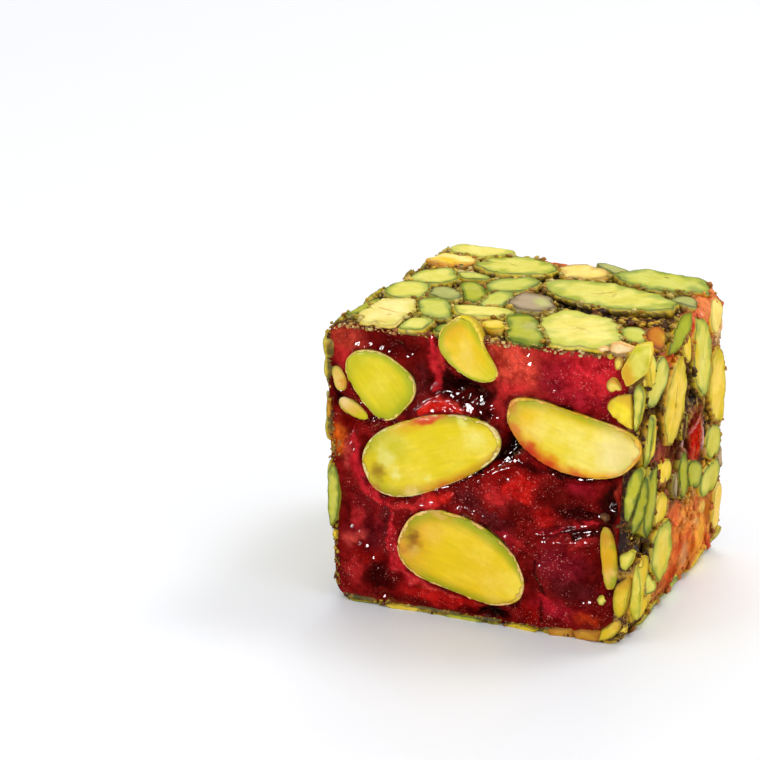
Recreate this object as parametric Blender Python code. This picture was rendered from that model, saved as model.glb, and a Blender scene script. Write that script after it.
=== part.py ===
"""A cube cut from a log of pomegranate and pistachio Turkish delight.

Whole pistachio kernels are set in a dark red jelly.  The log was rolled in
sliced and chopped pistachios and then cut across, so the front and the back
are knife cuts through jelly and kernels, and the other four sides are coated.

Every piece is first shaped in a square block of WIDTH x DEPTH x HEIGHT
millimetres.  uneven() then leans it into the real, slightly crooked cube and
turns millimetres into metres.  Front is -Y, right is +X, up is +Z.
"""
import math
import random

import bmesh
import bpy
from mathutils import Matrix, Vector

MM = 0.001

# The square block, and how far each of its corners sits from square.
WIDTH = 40.0
DEPTH = 35.0
HEIGHT = 37.0
CORNER_SHIFT = {
    ("left", "front", "bottom"): (0.85, -1.55),
    ("left", "front", "top"): (-0.25, -1.65),
    ("left", "back", "bottom"): (0.15, 1.15),
    ("left", "back", "top"): (-0.65, 1.65),
    ("right", "front", "bottom"): (-0.55, -0.35),
    ("right", "front", "top"): (0.55, -0.15),
    ("right", "back", "bottom"): (0.65, -0.65),
    ("right", "back", "top"): (0.65, -3.55),
}
EDGE_RADIUS = 3.0
JELLY_RADIUS = 1.5
BAR_CORNER_STEPS = 5
BAR_LENGTH_CUTS = 3

# How finely the jelly is cut along x, z and y, and how softly its cut ends meet its sides.
JELLY_CUTS = ((0, 13), (2, 12), (1, 1))
RIM_WIDTH = 0.8
RIM_DROP = 0.5

# The nut coat, from the jelly outwards: a gap, a bed of ground nuts, then slices
# that sink a little into the bed.
COAT_DEPTH = {"left": 1.9, "right": 2.5, "top": 2.0, "bottom": 1.3}
BED_SHARE = 0.34
GAP = 0.3
SINK = 0.25

# Kernels cut through at the front face: x, z, half length, half width, turn in
# degrees, squareness, how much wider the right end is, and how far the middle bends up.
FRONT_KERNELS = {
    "kernel_top_left": (-13.2, 29.35, 4.6, 3.5, -43, 2.6, 0.25, 0.45),
    "kernel_top_centre": (-1.1, 34.9, 4.3, 2.5, -51, 2.8, -0.30, -0.8),
    "kernel_middle_left": (-6.3, 20.95, 9.4, 4.6, 22.5, 2.3, -0.16, 0.4),
    "kernel_middle_right": (11.6, 26.4, 8.4, 3.9, -13, 2.3, 0.04, -1.4),
    "kernel_lower_centre": (-2.3, 7.4, 8.7, 5.0, -17, 2.3, -0.13, 1.0),
}
FRONT_CHIPS = {
    "chip_upper_left": (-18.2, 29.3, 1.6, 0.85, -76, 2.3, 0.1, 0.15),
    "chip_lower_left": (-16.3, 25.7, 2.1, 0.9, -27, 2.3, -0.2, -0.1),
    "chip_upper_right": (16.7, 30.5, 1.5, 1.1, 25, 2.6, 0.1, 0.0),
    "chip_lower_right": (16.6, 11.0, 4.0, 1.0, -82, 2.3, 0.0, 0.2),
}
BACK_KERNELS = {
    "kernel_back_top_right": (9.4, 28.4, 8.5, 4.3, 16, 2.3, 0.1, 0.5),
    "kernel_back_top_left": (-9.3, 28.6, 7.2, 4.0, -32, 2.4, -0.15, 0.6),
    "kernel_back_middle": (-2.4, 17.0, 8.8, 4.2, 9, 2.3, 0.12, -0.5),
    "kernel_back_right": (11.9, 13.0, 6.2, 4.0, 62, 2.4, 0.15, 0.4),
    "kernel_back_lower": (-8.6, 6.9, 7.4, 3.7, -10, 2.3, -0.1, 0.5),
}
KERNEL_DEPTH = 4.3
CHIP_DEPTH = 1.6
KERNEL_CROWN = 0.55
CHIP_CROWN = 0.35
POCKET_CROWN = 3.0
CUT_RIM_POWER = 0.4
CROWN_POWER = 0.6

# Columns and rows of each kind of rounded body.
FRONT_KERNEL_GRID = (18, 7)
FRONT_CHIP_GRID = (10, 5)
BACK_KERNEL_GRID = (14, 6)
LARGE_SLICE_GRID = (14, 5)
SMALL_SLICE_GRID = (8, 4)
TINY_SLICE_GRID = (6, 4)

# Hollows and swells of the front cut: x, z, half width, half height, turn, height.
FRONT_RELIEF = (
    (-3.2, 29.6, 4.4, 1.9, -5, -1.3),
    (4.3, 24.3, 1.7, 3.6, -38, -1.5),
    (16.4, 17.6, 1.3, 3.8, 0, -1.1),
    (12.0, 18.3, 3.6, 1.9, -5, -0.5),
    (3.6, 18.4, 3.8, 2.2, 12, 0.5),
    (11.2, 8.2, 4.2, 3.6, -8, 0.7),
    (11.0, 13.4, 4.4, 0.8, 14, -0.5),
    (1.6, 1.6, 2.2, 0.9, 0, -0.6),
    (-17.2, 22.6, 1.1, 2.8, -22, -0.6),
    (-15.4, 10.6, 2.2, 3.4, 8, -0.4),
    (-13.6, 4.2, 2.5, 2.2, 0, 0.5),
    (9.0, 33.2, 6.5, 2.2, -4, 0.35),
    (-11.0, 34.6, 3.4, 1.1, -6, -0.4),
)

# The back cut has as many by rule: ranges of x, z, half width, half height and turn, and the heights.
BACK_HOLLOWS = 14
BACK_RANGES = ((-17, 17), (3, 34), (1.5, 4.5), (1.5, 3.5), (0, 180))
BACK_HEIGHTS = (-1.1, -0.6, 0.5)

# Large slices, each a piece of its own: side, place along the side, place
# towards the back, length, width, turn in degrees, height above the block.
LARGE_SLICES = {
    "slice_top_long": ("top", 8.3, 4.5, 17.6, 8.6, -16, 0.15),
    "slice_top_back": ("top", 12.6, 13.9, 11.0, 7.2, 4, 0.35),
    "slice_top_rear_left": ("top", -6.5, 11.3, 9.2, 8.2, 12, 0.15),
    "slice_top_far_left": ("top", -13.4, 15.7, 7.6, 4.2, 4, 0.10),
    "slice_top_front_left": ("top", -13.4, -13.4, 11.4, 5.0, 96, 0.20),
    "slice_top_front": ("top", 9.9, -11.3, 15.6, 8.4, -62, 0.15),
    "slice_top_front_green": ("top", 3.7, -13.6, 11.4, 3.6, -63, 0.05),
    "slice_right_upper": ("right", 27.8, -5.0, 9.4, 8.6, 80, 0.15),
    "slice_right_middle": ("right", 30.2, 6.8, 9.2, 6.0, -74, 0.05),
    "slice_right_rear": ("right", 24.2, 13.9, 10.4, 5.8, -62, 0.20),
    "slice_right_lower": ("right", 9.0, -7.4, 7.6, 6.6, -12, 0.15),
}

# Smaller slices, fused to the bed, in the same order of values.
SMALL_SLICES = (
    ("top", -15.6, 10.9, 5.0, 4.2, 25, 0.1),
    ("top", -14.3, 3.0, 5.8, 4.6, 50, 0.0),
    ("top", -14.9, -4.4, 6.8, 4.2, 80, 0.1),
    ("top", -9.1, -15.6, 6.0, 3.0, 78, 0.0),
    ("top", -9.1, -9.7, 7.6, 3.4, -58, 0.1),
    ("top", -3.4, -8.6, 6.4, 4.0, 18, 0.1),
    ("top", -4.3, 3.8, 6.4, 5.0, 68, 0.0),
    ("top", -7.4, -1.2, 8.4, 2.6, -64, -0.1),
    ("top", -10.5, -3.3, 5.8, 3.2, -50, 0.0),
    ("top", -3.8, -3.1, 5.6, 3.0, 80, 0.0),
    ("top", 0.7, -2.9, 6.4, 4.6, -68, 0.2),
    ("top", -0.1, -13.0, 7.4, 3.8, -62, 0.0),
    ("top", 16.6, -10.2, 5.2, 4.2, -35, 0.0),
    ("top", -10.6, 5.3, 4.0, 2.8, 10, -0.1),
    ("top", 1.9, 13.6, 6.2, 4.4, -18, 0.0),
    ("top", 5.2, 16.2, 4.0, 2.0, -20, 0.2),
    ("top", 17.2, 7.6, 4.0, 2.2, -76, 0.0),
    ("top", 19.0, -3.3, 11.4, 2.6, -75, 0.2),
    ("top", -17.6, -11.6, 8.0, 1.8, 88, -0.2),
    ("right", 34.0, -1.4, 3.8, 2.4, -65, 0.1),
    ("right", 32.5, -13.2, 6.6, 4.4, 10, 0.1),
    ("right", 18.3, -15.2, 8.6, 5.0, 82, 0.7),
    ("right", 24.6, -14.8, 5.0, 2.8, 62, 0.0),
    ("right", 7.0, -15.6, 7.0, 4.2, 84, 0.2),
    ("right", 35.4, -16.4, 5.4, 3.4, 86, 0.3),
    ("right", 14.8, 5.2, 5.0, 2.4, -28, 0.0),
    ("right", 16.2, 0.2, 6.8, 3.2, -55, 0.1),
    ("right", 16.8, 13.4, 4.6, 3.4, 0, 0.0),
    ("right", 11.9, 12.2, 7.2, 3.4, 0, 0.1),
    ("right", 3.4, -11.6, 5.4, 2.0, -8, -0.3),
    ("right", 19.6, -8.8, 6.2, 2.0, -10, -0.1),
    ("right", 14.6, -8.4, 5.2, 3.0, -28, 0.0),
    ("right", 34.0, 13.6, 4.8, 2.8, 20, -0.1),
    ("right", 6.4, 16.0, 7.0, 1.8, 88, -0.1),
    ("left", 14.0, -15.6, 8.4, 4.6, 90, 0.2),
    ("bottom", 0.0, 0.0, 11.0, 7.5, 20, 0.1),
)

# Outline and section of a slice: powers of its rounding, and how much wider one end is.
SLICE_ROUNDING = 0.85
SLICE_EGG = 0.12
SLICE_TOP_POWERS = (0.6, 0.6)
SLICE_BASE_POWERS = (0.15, 0.25)
SINK_RANGE = (0.7, 1.1)

# The left side and the underside, which the eye can't read, get the same mix by rule.
SEED = 7
LEFT_LARGE_LENGTHS = (11.5, 10.6, 9.8, 9.2)
LEFT_LARGE_MARGIN = 4
FILL_LENGTHS = [9.0 - 0.14 * i for i in range(32)]
FILL_START_ARCS = 1.4
FILL_END_ARCS = 0.5
FILL_WIDTHS = (0.45, 0.8)
FILL_HEIGHTS = (-0.05, 0.2)
UNDERSIDE_HEIGHT = 0.1
SMALL_LENGTH = 4.5
SMALL_LENGTHS = [4.4 - 0.06 * i for i in range(32)]
FILL_TRIES = 60
CLEARANCE = 0.35
SHRINK = 0.95

# Bare places, where no fill slices lie: side, place along it, place towards the back, half sizes, turn.
BARE_PLACES = (
    ("right", 6.8, 6.4, 6.6, 11.0, 0),
    ("right", 19.2, 5.4, 4.0, 4.6, 0),
    ("right", 21.6, -7.0, 1.6, 7.4, 0),
    ("right", 26.4, 3.0, 2.6, 2.8, 0),
    ("right", 35.6, 12.4, 2.4, 4.6, 0),
    ("right", 34.4, -8.0, 2.0, 5.0, 0),
    ("right", 33.6, 2.4, 2.4, 2.4, 0),
    ("top", 5.0, -1.0, 5.2, 1.9, -28),
    ("top", 14.6, -5.0, 5.0, 3.0, -40),
)

# Crumbs fused to the bed: how far apart, how far they stand out of it and how uneven they are.
CRUMB_COUNT = 30
CRUMB_RADII = (0.5, 0.9)
UNDERSIDE_CRUMB_RADIUS = 0.5
CRUMB_SPACING = 2.2
CRUMB_STANDING = 0.45
CRUMB_STRETCH = (0.8, 1.2)
CRUMB_END_MARGIN = 1

# Colour and roughness of each material.
JELLY_LOOK = ((0.16, 0.006, 0.016, 1.0), 0.2)
KERNEL_LOOK = ((0.70, 0.58, 0.06, 1.0), 0.4)
SLICE_LOOK = ((0.55, 0.58, 0.14, 1.0), 0.6)
COAT_LOOK = ((0.50, 0.42, 0.09, 1.0), 0.75)
SHARP_ANGLE = 40

KNIFE_REACH = 3
CORE_LENGTH = 1.2
TINY = 0.001


def ball(columns, rows, shape):
    """A UV sphere whose vertices are moved by shape(), a function of the unit vector."""
    body = bmesh.new()
    bmesh.ops.create_uvsphere(body, u_segments=columns, v_segments=rows, radius=1.0)
    for vertex in body.verts:
        vertex.co = shape(vertex.co.copy())
    if body.calc_volume(signed=True) < 0:
        bmesh.ops.reverse_faces(body, faces=body.faces)
    return body


def power(value, exponent):
    """Signed power, which turns circles into superellipses."""
    return math.copysign(abs(value) ** exponent, value)


def kernel(sizes, depth, crown, facing, margin, columns, rows):
    """A kernel cut through by the knife.

    Its outline is a superellipse, egg shaped and bent like a bean.  Behind the
    cut it is round and depth deep; in front it is a flat crown with a soft rim.
    facing is -1 for the front cut and 1 for the back one.
    """
    x, z, half_length, half_width, turn, squareness, egg, bend = sizes
    half_length += margin
    half_width += margin
    face = facing * DEPTH / 2
    spin = Matrix.Rotation(math.radians(turn), 2)

    def shape(unit):
        out = math.hypot(unit.x, unit.y)
        angle = math.atan2(unit.y, unit.x)
        level = unit.z
        rim = out ** (CUT_RIM_POWER if level > 0 else 1.0)
        u = half_length * power(math.cos(angle), 2 / squareness) * rim
        v = half_width * power(math.sin(angle), 2 / squareness) * rim
        v = v * (1 + egg * u / half_length) + bend * (1 - (u / half_length) ** 2)
        across = spin @ Vector((u, v))
        if level > 0:
            along = crown * level ** CROWN_POWER
        else:
            along = (depth + margin) * level
        return Vector((x + across.x, face + facing * along, z + across.y))

    return ball(columns, rows, shape)


def slice_of_nut(length, width, thickness, columns, rows):
    """A sliced nut: a low slab with an oval outline, upright sides and a soft top rim."""
    def shape(unit):
        out = math.hypot(unit.x, unit.y)
        angle = math.atan2(unit.y, unit.x)
        rim_power, level_power = SLICE_TOP_POWERS if unit.z > 0 else SLICE_BASE_POWERS
        rim = out ** rim_power
        u = length / 2 * power(math.cos(angle), SLICE_ROUNDING) * rim
        v = width / 2 * power(math.sin(angle), SLICE_ROUNDING) * rim * (1 + SLICE_EGG * u / length)
        w = thickness / 2 * power(unit.z, level_power)
        return Vector((u, v, w))

    return ball(columns, rows, shape)


def section():
    """Half widths of the straight runs of the block's outer section, and its corner arc."""
    return WIDTH / 2 - EDGE_RADIUS, HEIGHT / 2 - EDGE_RADIUS, math.pi * EDGE_RADIUS / 2


def around():
    """The length of the whole outer section."""
    a, b, arc = section()
    return 4 * (a + b + arc)


def coat_point(s):
    """The outer section at s mm from the middle of the top, towards the right and round.

    Returns x, z and the way of travel as an angle; outwards is left of travel.
    """
    a, b, arc = section()
    straights = (a, 2 * b, 2 * a, 2 * b, a)
    x, z, heading = 0.0, HEIGHT, 0.0
    s = s % around()
    for index, straight in enumerate(straights):
        step = min(s, straight)
        x += step * math.cos(heading)
        z += step * math.sin(heading)
        s -= step
        if s <= 0 or index == len(straights) - 1:
            break
        turned = min(s, arc) / EDGE_RADIUS
        centre_x = x + EDGE_RADIUS * math.sin(heading)
        centre_z = z - EDGE_RADIUS * math.cos(heading)
        heading -= turned
        x = centre_x - EDGE_RADIUS * math.sin(heading)
        z = centre_z + EDGE_RADIUS * math.cos(heading)
        s -= turned * EDGE_RADIUS
        if s <= 0:
            break
    return x, z, heading


def side_to_s(side, place):
    """Distance along the section of a place on one side: x on top and bottom, z at the sides."""
    a, b, arc = section()
    down = HEIGHT / 2 - place
    if side == "top":
        return place
    if side == "right":
        return a + arc + b + down
    if side == "left":
        return -(a + arc + b + down)
    return a + 2 * arc + 2 * b + a - place


def side_of(s):
    """The side of the block at s."""
    quarter = round(-coat_point(s)[2] / (math.pi / 2)) % 4
    return ("top", "right", "bottom", "left")[quarter]


def coat_depth(heading):
    """Depth of the coat where the section is travelled at this heading, blended over the edges."""
    across, up = -math.sin(heading), math.cos(heading)
    side = COAT_DEPTH["right" if across > 0 else "left"]
    level = COAT_DEPTH["top" if up > 0 else "bottom"]
    return across * across * side + up * up * level


def laid_on(body, s, y, turn, lift, sink):
    """Lays a body at (s, y), lift above the block's outer surface and bent over its long edges.

    Nothing reaches deeper into the bed than sink.
    """
    c, d = math.cos(math.radians(turn)), math.sin(math.radians(turn))
    for vertex in body.verts:
        u, v, w = vertex.co
        x, z, heading = coat_point(s + u * c - v * d)
        out = max(lift + w, -slice_depth(coat_depth(heading)) - sink)
        x, z = x - out * math.sin(heading), z + out * math.cos(heading)
        vertex.co = Vector((x, y + u * d + v * c, z))
    return body


def place_of(row):
    """A slice row as a place on the coat: s, y, length, width, turn, height."""
    side, place, back, length, width, turn, height = row
    if side == "right":
        turn += 90
    if side == "left":
        turn = 90 - turn
    return side_to_s(side, place), back, length, width, turn, height


def slice_depth(depth):
    """How deep the bed's face lies under the block's surface, where the coat is that deep."""
    return depth * (1 - BED_SHARE) - GAP


def small_slice(place, rng):
    """A slice fused to the bed."""
    s, y, length, width, turn, height = place
    sink = SINK * rng.uniform(*SINK_RANGE)
    thickness = slice_depth(COAT_DEPTH[side_of(s)]) + SINK + height
    grid = SMALL_SLICE_GRID if length > SMALL_LENGTH else TINY_SLICE_GRID
    body = slice_of_nut(length, width, thickness, *grid)
    return laid_on(body, s, y, turn, height - thickness / 2, sink)


def large_slice(place):
    """A slice of its own, clear of the bed by the gap."""
    s, y, length, width, turn, height = place
    thickness = slice_depth(COAT_DEPTH[side_of(s)]) - GAP + height
    body = slice_of_nut(length, width, thickness, *LARGE_SLICE_GRID)
    return laid_on(body, s, y, turn, height - thickness / 2, -GAP)


def oval_points(place, count=20):
    """Points on the rim of a slice, in the coat's own flat coordinates."""
    s, y, length, width, turn, height = place
    c, d = math.cos(math.radians(turn)), math.sin(math.radians(turn))
    for i in range(count):
        angle = 2 * math.pi * i / count
        u, v = length / 2 * math.cos(angle), width / 2 * math.sin(angle)
        yield s + u * c - v * d, y + u * d + v * c


def wrapped(distance):
    """A distance along the section, the short way round."""
    return (distance + around() / 2) % around() - around() / 2


def is_bare(s, y):
    """Whether a place of the coat has no fill slices."""
    for side, along, back, half_along, half_back, turn in BARE_PLACES:
        away, across = wrapped(s - side_to_s(side, along)), y - back
        c, d = math.cos(math.radians(turn)), math.sin(math.radians(turn))
        u, v = away * c + across * d, across * c - away * d
        if (u / half_along) ** 2 + (v / half_back) ** 2 < 1:
            return True
    return False


def inside(point, place, margin):
    """Whether a point lies in a slice's oval, widened by margin."""
    s, y, length, width, turn, height = place
    c, d = math.cos(math.radians(turn)), math.sin(math.radians(turn))
    across, back = wrapped(point[0] - s), point[1] - y
    u, v = across * c + back * d, back * c - across * d
    return (u / (length / 2 + margin)) ** 2 + (v / (width / 2 + margin)) ** 2 < 1


def clear_of(place, others, margin):
    """Whether a slice keeps margin to all the others."""
    for other in others:
        if any(inside(point, other, margin) for point in oval_points(place)):
            return False
        if any(inside(point, place, margin) for point in oval_points(other)):
            return False
    return True


def drop_slices(lengths, start, end, taken, rng):
    """New slices between start and end of the section, in order, wherever each still fits."""
    added = []
    for length in lengths:
        for attempt in range(FILL_TRIES):
            s, y = rng.uniform(start, end), rng.uniform(-DEPTH / 2, DEPTH / 2)
            width, turn = length * rng.uniform(*FILL_WIDTHS), rng.uniform(0, 180)
            height = UNDERSIDE_HEIGHT if side_of(s) == "bottom" else rng.uniform(*FILL_HEIGHTS)
            place = (s, y, length, width, turn, height)
            if not is_bare(s, y) and clear_of(place, taken + added, CLEARANCE):
                added.append(place)
                break
    return added


def made_clear(place, others):
    """The slice, made smaller until it keeps clear of the others."""
    s, y, length, width, turn, height = place
    while not clear_of((s, y, length, width, turn, height), others, CLEARANCE):
        length, width = length * SHRINK, width * SHRINK
    return s, y, length, width, turn, height


def crumb_places(taken, rng):
    """Places for crumbs in the gaps between the slices, round the whole coat."""
    crumbs = []
    far = DEPTH / 2 - CRUMB_END_MARGIN
    while len(crumbs) < CRUMB_COUNT:
        radius = rng.uniform(*CRUMB_RADII)
        point = (rng.uniform(0, around()), rng.uniform(-far, far))
        if side_of(point[0]) == "bottom":
            radius = min(radius, UNDERSIDE_CRUMB_RADIUS)
        if any(inside(point, place, CLEARANCE + radius) for place in taken):
            continue
        if all(math.hypot(wrapped(point[0] - c[0]), point[1] - c[1]) > CRUMB_SPACING for c in crumbs):
            crumbs.append((point[0], point[1], radius))
    return crumbs


def crumb(s, y, radius, rng):
    """A crumb of nut, an uneven lump half sunk in the bed."""
    body = bmesh.new()
    bmesh.ops.create_icosphere(body, subdivisions=1, radius=radius)
    for vertex in body.verts:
        vertex.co *= rng.uniform(*CRUMB_STRETCH)
    bed_level = -slice_depth(COAT_DEPTH[side_of(s)])
    return laid_on(body, s, y, rng.uniform(0, 360), bed_level + CRUMB_STANDING * radius, SINK)


def rounded_bar(length, outset, bed_share=0.0):
    """The jelly's rounded section, grown by outset and a share of the coat, as a bar along Y."""
    body = bmesh.new()
    bmesh.ops.create_cube(body, size=1.0)
    left, right, bottom, top = jelly_sides(outset, bed_share)
    for vertex in body.verts:
        vertex.co.x = right if vertex.co.x > 0 else left
        vertex.co.y *= length
        vertex.co.z = top if vertex.co.z > 0 else bottom
    long_edges = [e for e in body.edges if abs(e.verts[0].co.y - e.verts[1].co.y) > 1]
    radius = JELLY_RADIUS + outset
    bmesh.ops.bevel(body, geom=long_edges, offset=radius, segments=BAR_CORNER_STEPS, profile=0.5,
                    affect="EDGES")
    long_edges = [e for e in body.edges if abs(e.verts[0].co.y - e.verts[1].co.y) > 1]
    bmesh.ops.subdivide_edges(body, edges=long_edges, cuts=BAR_LENGTH_CUTS)
    return body


def jelly_sides(outset=0.0, bed_share=0.0):
    """Left, right, bottom and top of the jelly, grown by outset and a share of the coat."""
    depth = {side: deep * (1 - bed_share) - outset for side, deep in COAT_DEPTH.items()}
    left, right = depth["left"] - WIDTH / 2, WIDTH / 2 - depth["right"]
    return left, right, depth["bottom"], HEIGHT - depth["top"]


def relief(x, z, features):
    """Height of the cut jelly at a place: a sum of soft oval hollows and swells."""
    total = 0.0
    for place_x, place_z, half_x, half_z, turn, height in features:
        c, d = math.cos(math.radians(turn)), math.sin(math.radians(turn))
        u = ((x - place_x) * c + (z - place_z) * d) / half_x
        v = ((z - place_z) * c - (x - place_x) * d) / half_z
        total += height * math.exp(-u * u - v * v)
    return total


def back_relief(rng):
    """Hollows and swells of the back cut, by rule."""
    return [(*(rng.uniform(*limits) for limits in BACK_RANGES), rng.choice(BACK_HEIGHTS))
            for _ in range(BACK_HOLLOWS)]


def jelly_block(back_features):
    """The jelly: a bar with rounded long edges and cut ends that swell and sink."""
    body = bmesh.new()
    bmesh.ops.create_cube(body, size=2.0)
    for axis, cuts in JELLY_CUTS:
        edges = [e for e in body.edges if abs(e.verts[0].co[axis] - e.verts[1].co[axis]) > TINY]
        bmesh.ops.subdivide_edges(body, edges=edges, cuts=cuts, use_grid_fill=True)
    left, right, bottom, top = jelly_sides()
    middle = Vector(((left + right) / 2, 0, (bottom + top) / 2))
    half_x, half_z = (right - left) / 2, (top - bottom) / 2
    radius = JELLY_RADIUS
    for vertex in body.verts:
        x, z = vertex.co.x * half_x, vertex.co.z * half_z
        past_x = max(abs(x) - half_x + radius, 0)
        past_z = max(abs(z) - half_z + radius, 0)
        if past_x > 0 and past_z > 0:
            pull = max(past_x, past_z) / math.hypot(past_x, past_z)
            x = math.copysign(half_x - radius + past_x * pull, x)
            z = math.copysign(half_z - radius + past_z * pull, z)
        rim = min(half_x - abs(x), half_z - abs(z))
        x, z = x + middle.x, z + middle.z
        y = vertex.co.y * DEPTH / 2
        if abs(vertex.co.y) > 1 - TINY:
            features = FRONT_RELIEF if y < 0 else back_features
            soft = 1 - math.exp(-max(rim, 0) / RIM_WIDTH)
            y += math.copysign(relief(x, z, features) * soft - RIM_DROP * (1 - soft), y)
        vertex.co = Vector((x, y, z))
    return body


def uneven(point):
    """A place in the square block, in mm, to its place in the crooked cube, in metres."""
    parts = (
        (("left", 0.5 - point.x / WIDTH), ("right", 0.5 + point.x / WIDTH)),
        (("front", 0.5 - point.y / DEPTH), ("back", 0.5 + point.y / DEPTH)),
        (("bottom", 1 - point.z / HEIGHT), ("top", point.z / HEIGHT)),
    )
    moved = point.copy()
    for side, across in parts[0]:
        for end, along in parts[1]:
            for level, up in parts[2]:
                shift = CORNER_SHIFT[(side, end, level)]
                weight = across * along * up
                moved.x += weight * shift[0]
                moved.y += weight * shift[1]
    return moved * MM


def collection(name):
    """A collection in the scene."""
    group = bpy.data.collections.new(name)
    bpy.context.scene.collection.children.link(group)
    return group


def as_object(name, body, group):
    """A bmesh as an object in a collection."""
    mesh = bpy.data.meshes.new(name)
    body.to_mesh(mesh)
    body.free()
    thing = bpy.data.objects.new(name, mesh)
    group.objects.link(thing)
    return thing


def cutter(name, body, group):
    """A body that only cuts."""
    thing = as_object(name, body, group)
    thing.hide_render = True
    thing.display_type = "WIRE"
    return thing


def boolean(thing, operation, operand, solver="EXACT"):
    """Applies one Boolean with an object or a collection."""
    step = thing.modifiers.new(operation.title(), "BOOLEAN")
    step.operation = operation
    step.solver = solver
    if isinstance(operand, bpy.types.Collection):
        step.operand_type = "COLLECTION"
        step.collection = operand
    else:
        step.object = operand
    evaluated = thing.evaluated_get(bpy.context.evaluated_depsgraph_get())
    mesh = bpy.data.meshes.new_from_object(evaluated)
    thing.modifiers.clear()
    thing.data = mesh


def largest_body(thing):
    """Keeps the largest body of a mesh, which fills sealed hollows and drops scraps."""
    body = bmesh.new()
    body.from_mesh(thing.data)
    left_over = set(body.verts)
    islands = []
    while left_over:
        island, edge_of_island = set(), [left_over.pop()]
        while edge_of_island:
            vertex = edge_of_island.pop()
            island.add(vertex)
            for edge in vertex.link_edges:
                other = edge.other_vert(vertex)
                if other in left_over:
                    left_over.remove(other)
                    edge_of_island.append(other)
        islands.append(island)
    islands.sort(key=len)
    bmesh.ops.delete(body, geom=[v for island in islands[:-1] for v in island], context="VERTS")
    body.to_mesh(thing.data)
    body.free()


def material(name, colour, roughness):
    """A plain Principled material."""
    surface = bpy.data.materials.new(name)
    surface.use_nodes = True
    shader = surface.node_tree.nodes["Principled BSDF"]
    shader.inputs["Base Color"].default_value = colour
    shader.inputs["Roughness"].default_value = roughness
    shader.inputs["Metallic"].default_value = 0.0
    return surface


def finish(thing, surface):
    """Leans a piece into the crooked cube and gives it its material."""
    body = bmesh.new()
    body.from_mesh(thing.data)
    for vertex in body.verts:
        vertex.co = uneven(vertex.co)
    bmesh.ops.triangulate(body, faces=body.faces)
    body.to_mesh(thing.data)
    body.free()
    thing.data.materials.clear()
    thing.data.materials.append(surface)
    thing.data.shade_smooth()
    thing.data.set_sharp_from_angle(angle=math.radians(SHARP_ANGLE))


def knife_box():
    """The room between the two knife cuts, above the floor."""
    body = bmesh.new()
    bmesh.ops.create_cube(body, size=1.0)
    for vertex in body.verts:
        vertex.co.x *= KNIFE_REACH * WIDTH
        vertex.co.y *= DEPTH
        vertex.co.z = (vertex.co.z + 0.5) * KNIFE_REACH * HEIGHT
    return body


for old in list(bpy.data.objects):
    bpy.data.objects.remove(old, do_unlink=True)

rng = random.Random(SEED)
delight = collection("pistachio_turkish_delight")
tools = collection("tools")
pockets = collection("pockets")
toppings = collection("toppings")

jelly_surface = material("jelly", *JELLY_LOOK)
kernel_surface = material("cut_kernel", *KERNEL_LOOK)
slice_surface = material("sliced_pistachio", *SLICE_LOOK)
coat_surface = material("chopped_pistachio", *COAT_LOOK)

# Kernels and chips at the two cuts, each with a pocket that is larger by the gap.
cut_pieces = []
for name, sizes in FRONT_KERNELS.items():
    cut_pieces.append((name, sizes, KERNEL_DEPTH, KERNEL_CROWN, -1, FRONT_KERNEL_GRID))
for name, sizes in FRONT_CHIPS.items():
    cut_pieces.append((name, sizes, CHIP_DEPTH, CHIP_CROWN, -1, FRONT_CHIP_GRID))
for name, sizes in BACK_KERNELS.items():
    cut_pieces.append((name, sizes, KERNEL_DEPTH, KERNEL_CROWN, 1, BACK_KERNEL_GRID))
kernels = []
for name, sizes, depth, crown, facing, grid in cut_pieces:
    kernels.append(as_object(name, kernel(sizes, depth, crown, facing, 0, *grid), delight))
    cutter(name + "_pocket", kernel(sizes, depth, POCKET_CROWN, facing, GAP, *grid), pockets)

jelly = as_object("jelly", jelly_block(back_relief(rng)), delight)
boolean(jelly, "DIFFERENCE", pockets, "MANIFOLD")

# The nut coat: a thin bed round the jelly with the smaller slices and the crumbs fused on.
coat = as_object("nut_coat", rounded_bar(DEPTH, GAP, BED_SHARE), delight)
core = cutter("jelly_room", rounded_bar(DEPTH * CORE_LENGTH, GAP), tools)
boolean(coat, "DIFFERENCE", core)

large_places = {name: place_of(row) for name, row in LARGE_SLICES.items()}
a, b, arc = section()
left_start = 3 * a + 2 * b + 3 * arc
left_end = left_start + 2 * b
underside_start = left_start - 2 * a - FILL_START_ARCS * arc
taken = list(large_places.values()) + [place_of(row) for row in SMALL_SLICES]
first, last = left_start + LEFT_LARGE_MARGIN, left_end - LEFT_LARGE_MARGIN
left_large = drop_slices(LEFT_LARGE_LENGTHS, first, last, taken, rng)
for number, place in enumerate(left_large):
    large_places["slice_left_%d" % (number + 1)] = place
small_places = [made_clear(place_of(row), list(large_places.values())) for row in SMALL_SLICES]
every_place = list(large_places.values()) + small_places
fill_end = left_end + FILL_END_ARCS * arc
small_places += drop_slices(FILL_LENGTHS, underside_start, fill_end, every_place, rng)
every_place = list(large_places.values()) + small_places
small_places += drop_slices(SMALL_LENGTHS, 0, around(), every_place, rng)
every_place = list(large_places.values()) + small_places

for number, place in enumerate(small_places):
    as_object("fused_slice_%d" % number, small_slice(place, rng), toppings)
for number, (s, y, radius) in enumerate(crumb_places(every_place, rng)):
    as_object("fused_crumb_%d" % number, crumb(s, y, radius, rng), toppings)
boolean(coat, "UNION", toppings, "MANIFOLD")
boolean(coat, "DIFFERENCE", pockets, "MANIFOLD")
knives = cutter("knife_box", knife_box(), tools)
boolean(coat, "INTERSECT", knives, "MANIFOLD")
largest_body(coat)

slices = []
for name, place in large_places.items():
    slices.append(as_object(name, large_slice(place), delight))
    boolean(slices[-1], "INTERSECT", knives)

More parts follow.
